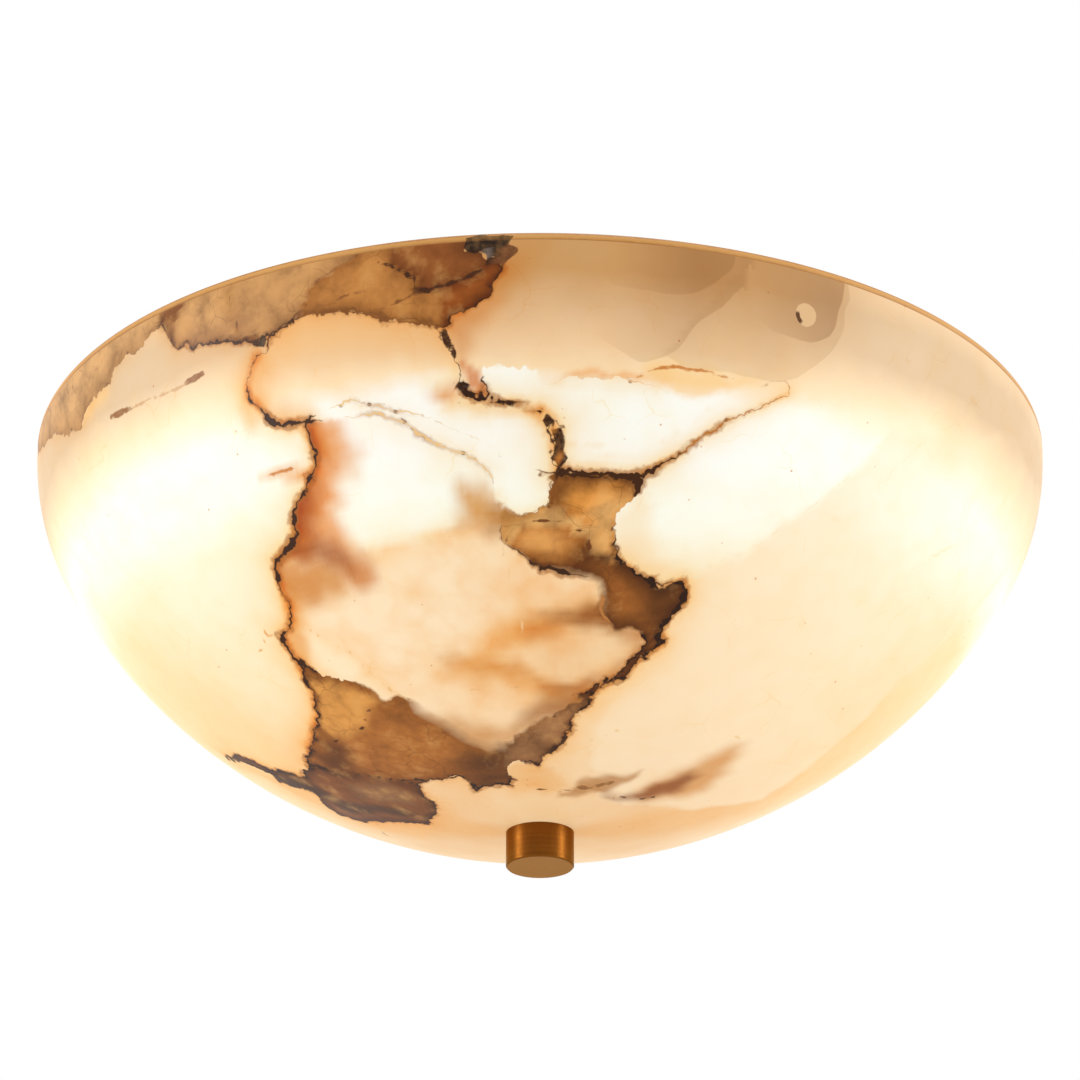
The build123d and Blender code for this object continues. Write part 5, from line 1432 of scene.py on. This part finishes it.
# The diffuser's glow is painted light: the LEDs' light through the opal
dress(rough_finish("opal_diffuser", (255, 244, 220), (250, 234, 204), 0.006, 0.4, glow=0.55), "diffuser")
dress(
    rough_finish("white_nylon", (236, 234, 226), (222, 218, 208), 0.0015, 0.45),
    "board_connector", "bore_sleeve", "knob_washer_left", "knob_washer_right")
dress(
    rough_finish("grey_rubber", (92, 94, 96), (66, 68, 70), 0.0009, 0.65, depth=0.0002),
    "plate_grommet", "nipple_bushing")
dress(
    rough_finish("milky_silicone", (224, 224, 216), (208, 208, 200), 0.002, 0.35),
    "seat_gasket", "finial_gasket")
dress(
    rough_finish("driver_plastic", (226, 226, 222), (208, 208, 204), 0.0007, 0.5, depth=0.0002),
    "driver_case", "driver_lid")
dress(rough_finish("driver_circuit", (40, 96, 62), (26, 70, 44), 0.0016, 0.4), "driver_board")
dress(rough_finish("black_lead", (34, 34, 36), (22, 22, 24), 0.001, 0.4), "line_lead", "output_lead_black")
dress(rough_finish("white_lead", (232, 230, 224), (214, 212, 206), 0.001, 0.4), "neutral_lead")
dress(rough_finish("green_lead", (38, 122, 66), (26, 96, 50), 0.001, 0.4), "earth_lead")
dress(rough_finish("red_lead", (186, 40, 36), (150, 28, 26), 0.001, 0.4), "output_lead_red")
dress(rough_finish("orange_cap", (232, 118, 38), (206, 96, 26), 0.0012, 0.45), "wire_nut_line")
dress(rough_finish("yellow_cap", (236, 196, 44), (214, 172, 30), 0.0012, 0.45), "wire_nut_neutral")
dress(rough_finish("green_cap", (44, 140, 80), (30, 112, 62), 0.0012, 0.45), "wire_nut_earth")
dress(rough_finish("tinned_copper", (206, 190, 170), (178, 160, 140), 0.001, 0.3, 1.0), "earth_terminal")


def rays_of(finish):
    """What kind of ray is looking: from the camera, off a mirror, through glass."""
    finish.node("ShaderNodeLightPath")
    rays = finish.tree.nodes[-1].outputs
    return [Value(finish, rays[name]) for name in ("Is Camera Ray", "Is Glossy Ray", "Is Transmission Ray")]


def floor_finish():
    """A pale floor that keeps the light's shadow and shows nearly white."""
    finish = new_finish("pale_floor")
    seen, mirrored, passed = rays_of(finish)
    tone = finish.blend(finish.noise(0.4, 3.0), linear(244, 244, 242), linear(238, 238, 236))
    matt = finish.node("ShaderNodeBsdfDiffuse", values={"Color": tone})[0]
    bright = finish.node("ShaderNodeEmission", values={"Color": linear(250, 250, 249), "Strength": 1.0})[0]
    share = seen.at_least(mirrored).at_least(passed) * 0.7
    shown = finish.node("ShaderNodeMixShader", values={0: share, 1: matt, 2: bright})[0]
    finish.node("ShaderNodeOutputMaterial", values={"Surface": shown})
    return finish.owner


def lamp(name, place, size, power):
    """A soft lamp that faces the middle of the light."""
    light = bpy.data.lights.new(name, "AREA")
    light.shape = "RECTANGLE"
    light.size, light.size_y = size
    light.energy = power
    thing = bpy.data.objects.new(name, light)
    bpy.context.scene.collection.objects.link(thing)
    thing.location = place
    direction = Vector(lamp_target) - thing.location
    thing.rotation_euler = direction.to_track_quat("-Z", "Y").to_euler()


lamp_target = (0, 0, -0.12)
lamp("left_softbox", (-1.8, -0.45, -0.4), (0.5, 1.4), 38)
lamp("right_softbox", (1.8, -0.40, -0.4), (0.5, 1.4), 34)
lamp("top_softbox", (0.2, -0.4, 1.6), (1.4, 1.4), 26)

floor_height = -2.4
floor_reach = 60.0
floor_mesh = bpy.data.meshes.new("studio_floor")
shape = bmesh.new()
lowered = Matrix.Translation((0, 0, floor_height))
bmesh.ops.create_grid(shape, x_segments=8, y_segments=8, size=floor_reach, matrix=lowered)
shape.to_mesh(floor_mesh)
shape.free()
floor = bpy.data.objects.new("studio_floor", floor_mesh)
bpy.context.scene.collection.objects.link(floor)
floor_mesh.materials.append(floor_finish())

world = bpy.data.worlds.new("white_studio")
bpy.context.scene.world = world
air = Finish(world)
seen, mirrored, passed = rays_of(air)
white = seen.at_least(mirrored).at_least(passed)
sky = {"Color": linear(255, 255, 255), "Strength": white * 0.45 + 0.55}
glow = air.node("ShaderNodeBackground", values=sky)[0]
air.node("ShaderNodeOutputWorld", values={"Surface": glow})

camera = bpy.data.cameras.new("photograph")
camera.sensor_width = sensor_width
camera.lens = focal_pixels / photo_size * sensor_width
viewer = bpy.data.objects.new("photograph", camera)
bpy.context.scene.collection.objects.link(viewer)
viewer.location = (0, -camera_back, rim_height - camera_drop)
viewer.rotation_euler = (pi / 2 + camera_rise, 0, 0)
bpy.context.scene.camera = viewer
bpy.context.scene.view_settings.view_transform = "Standard"
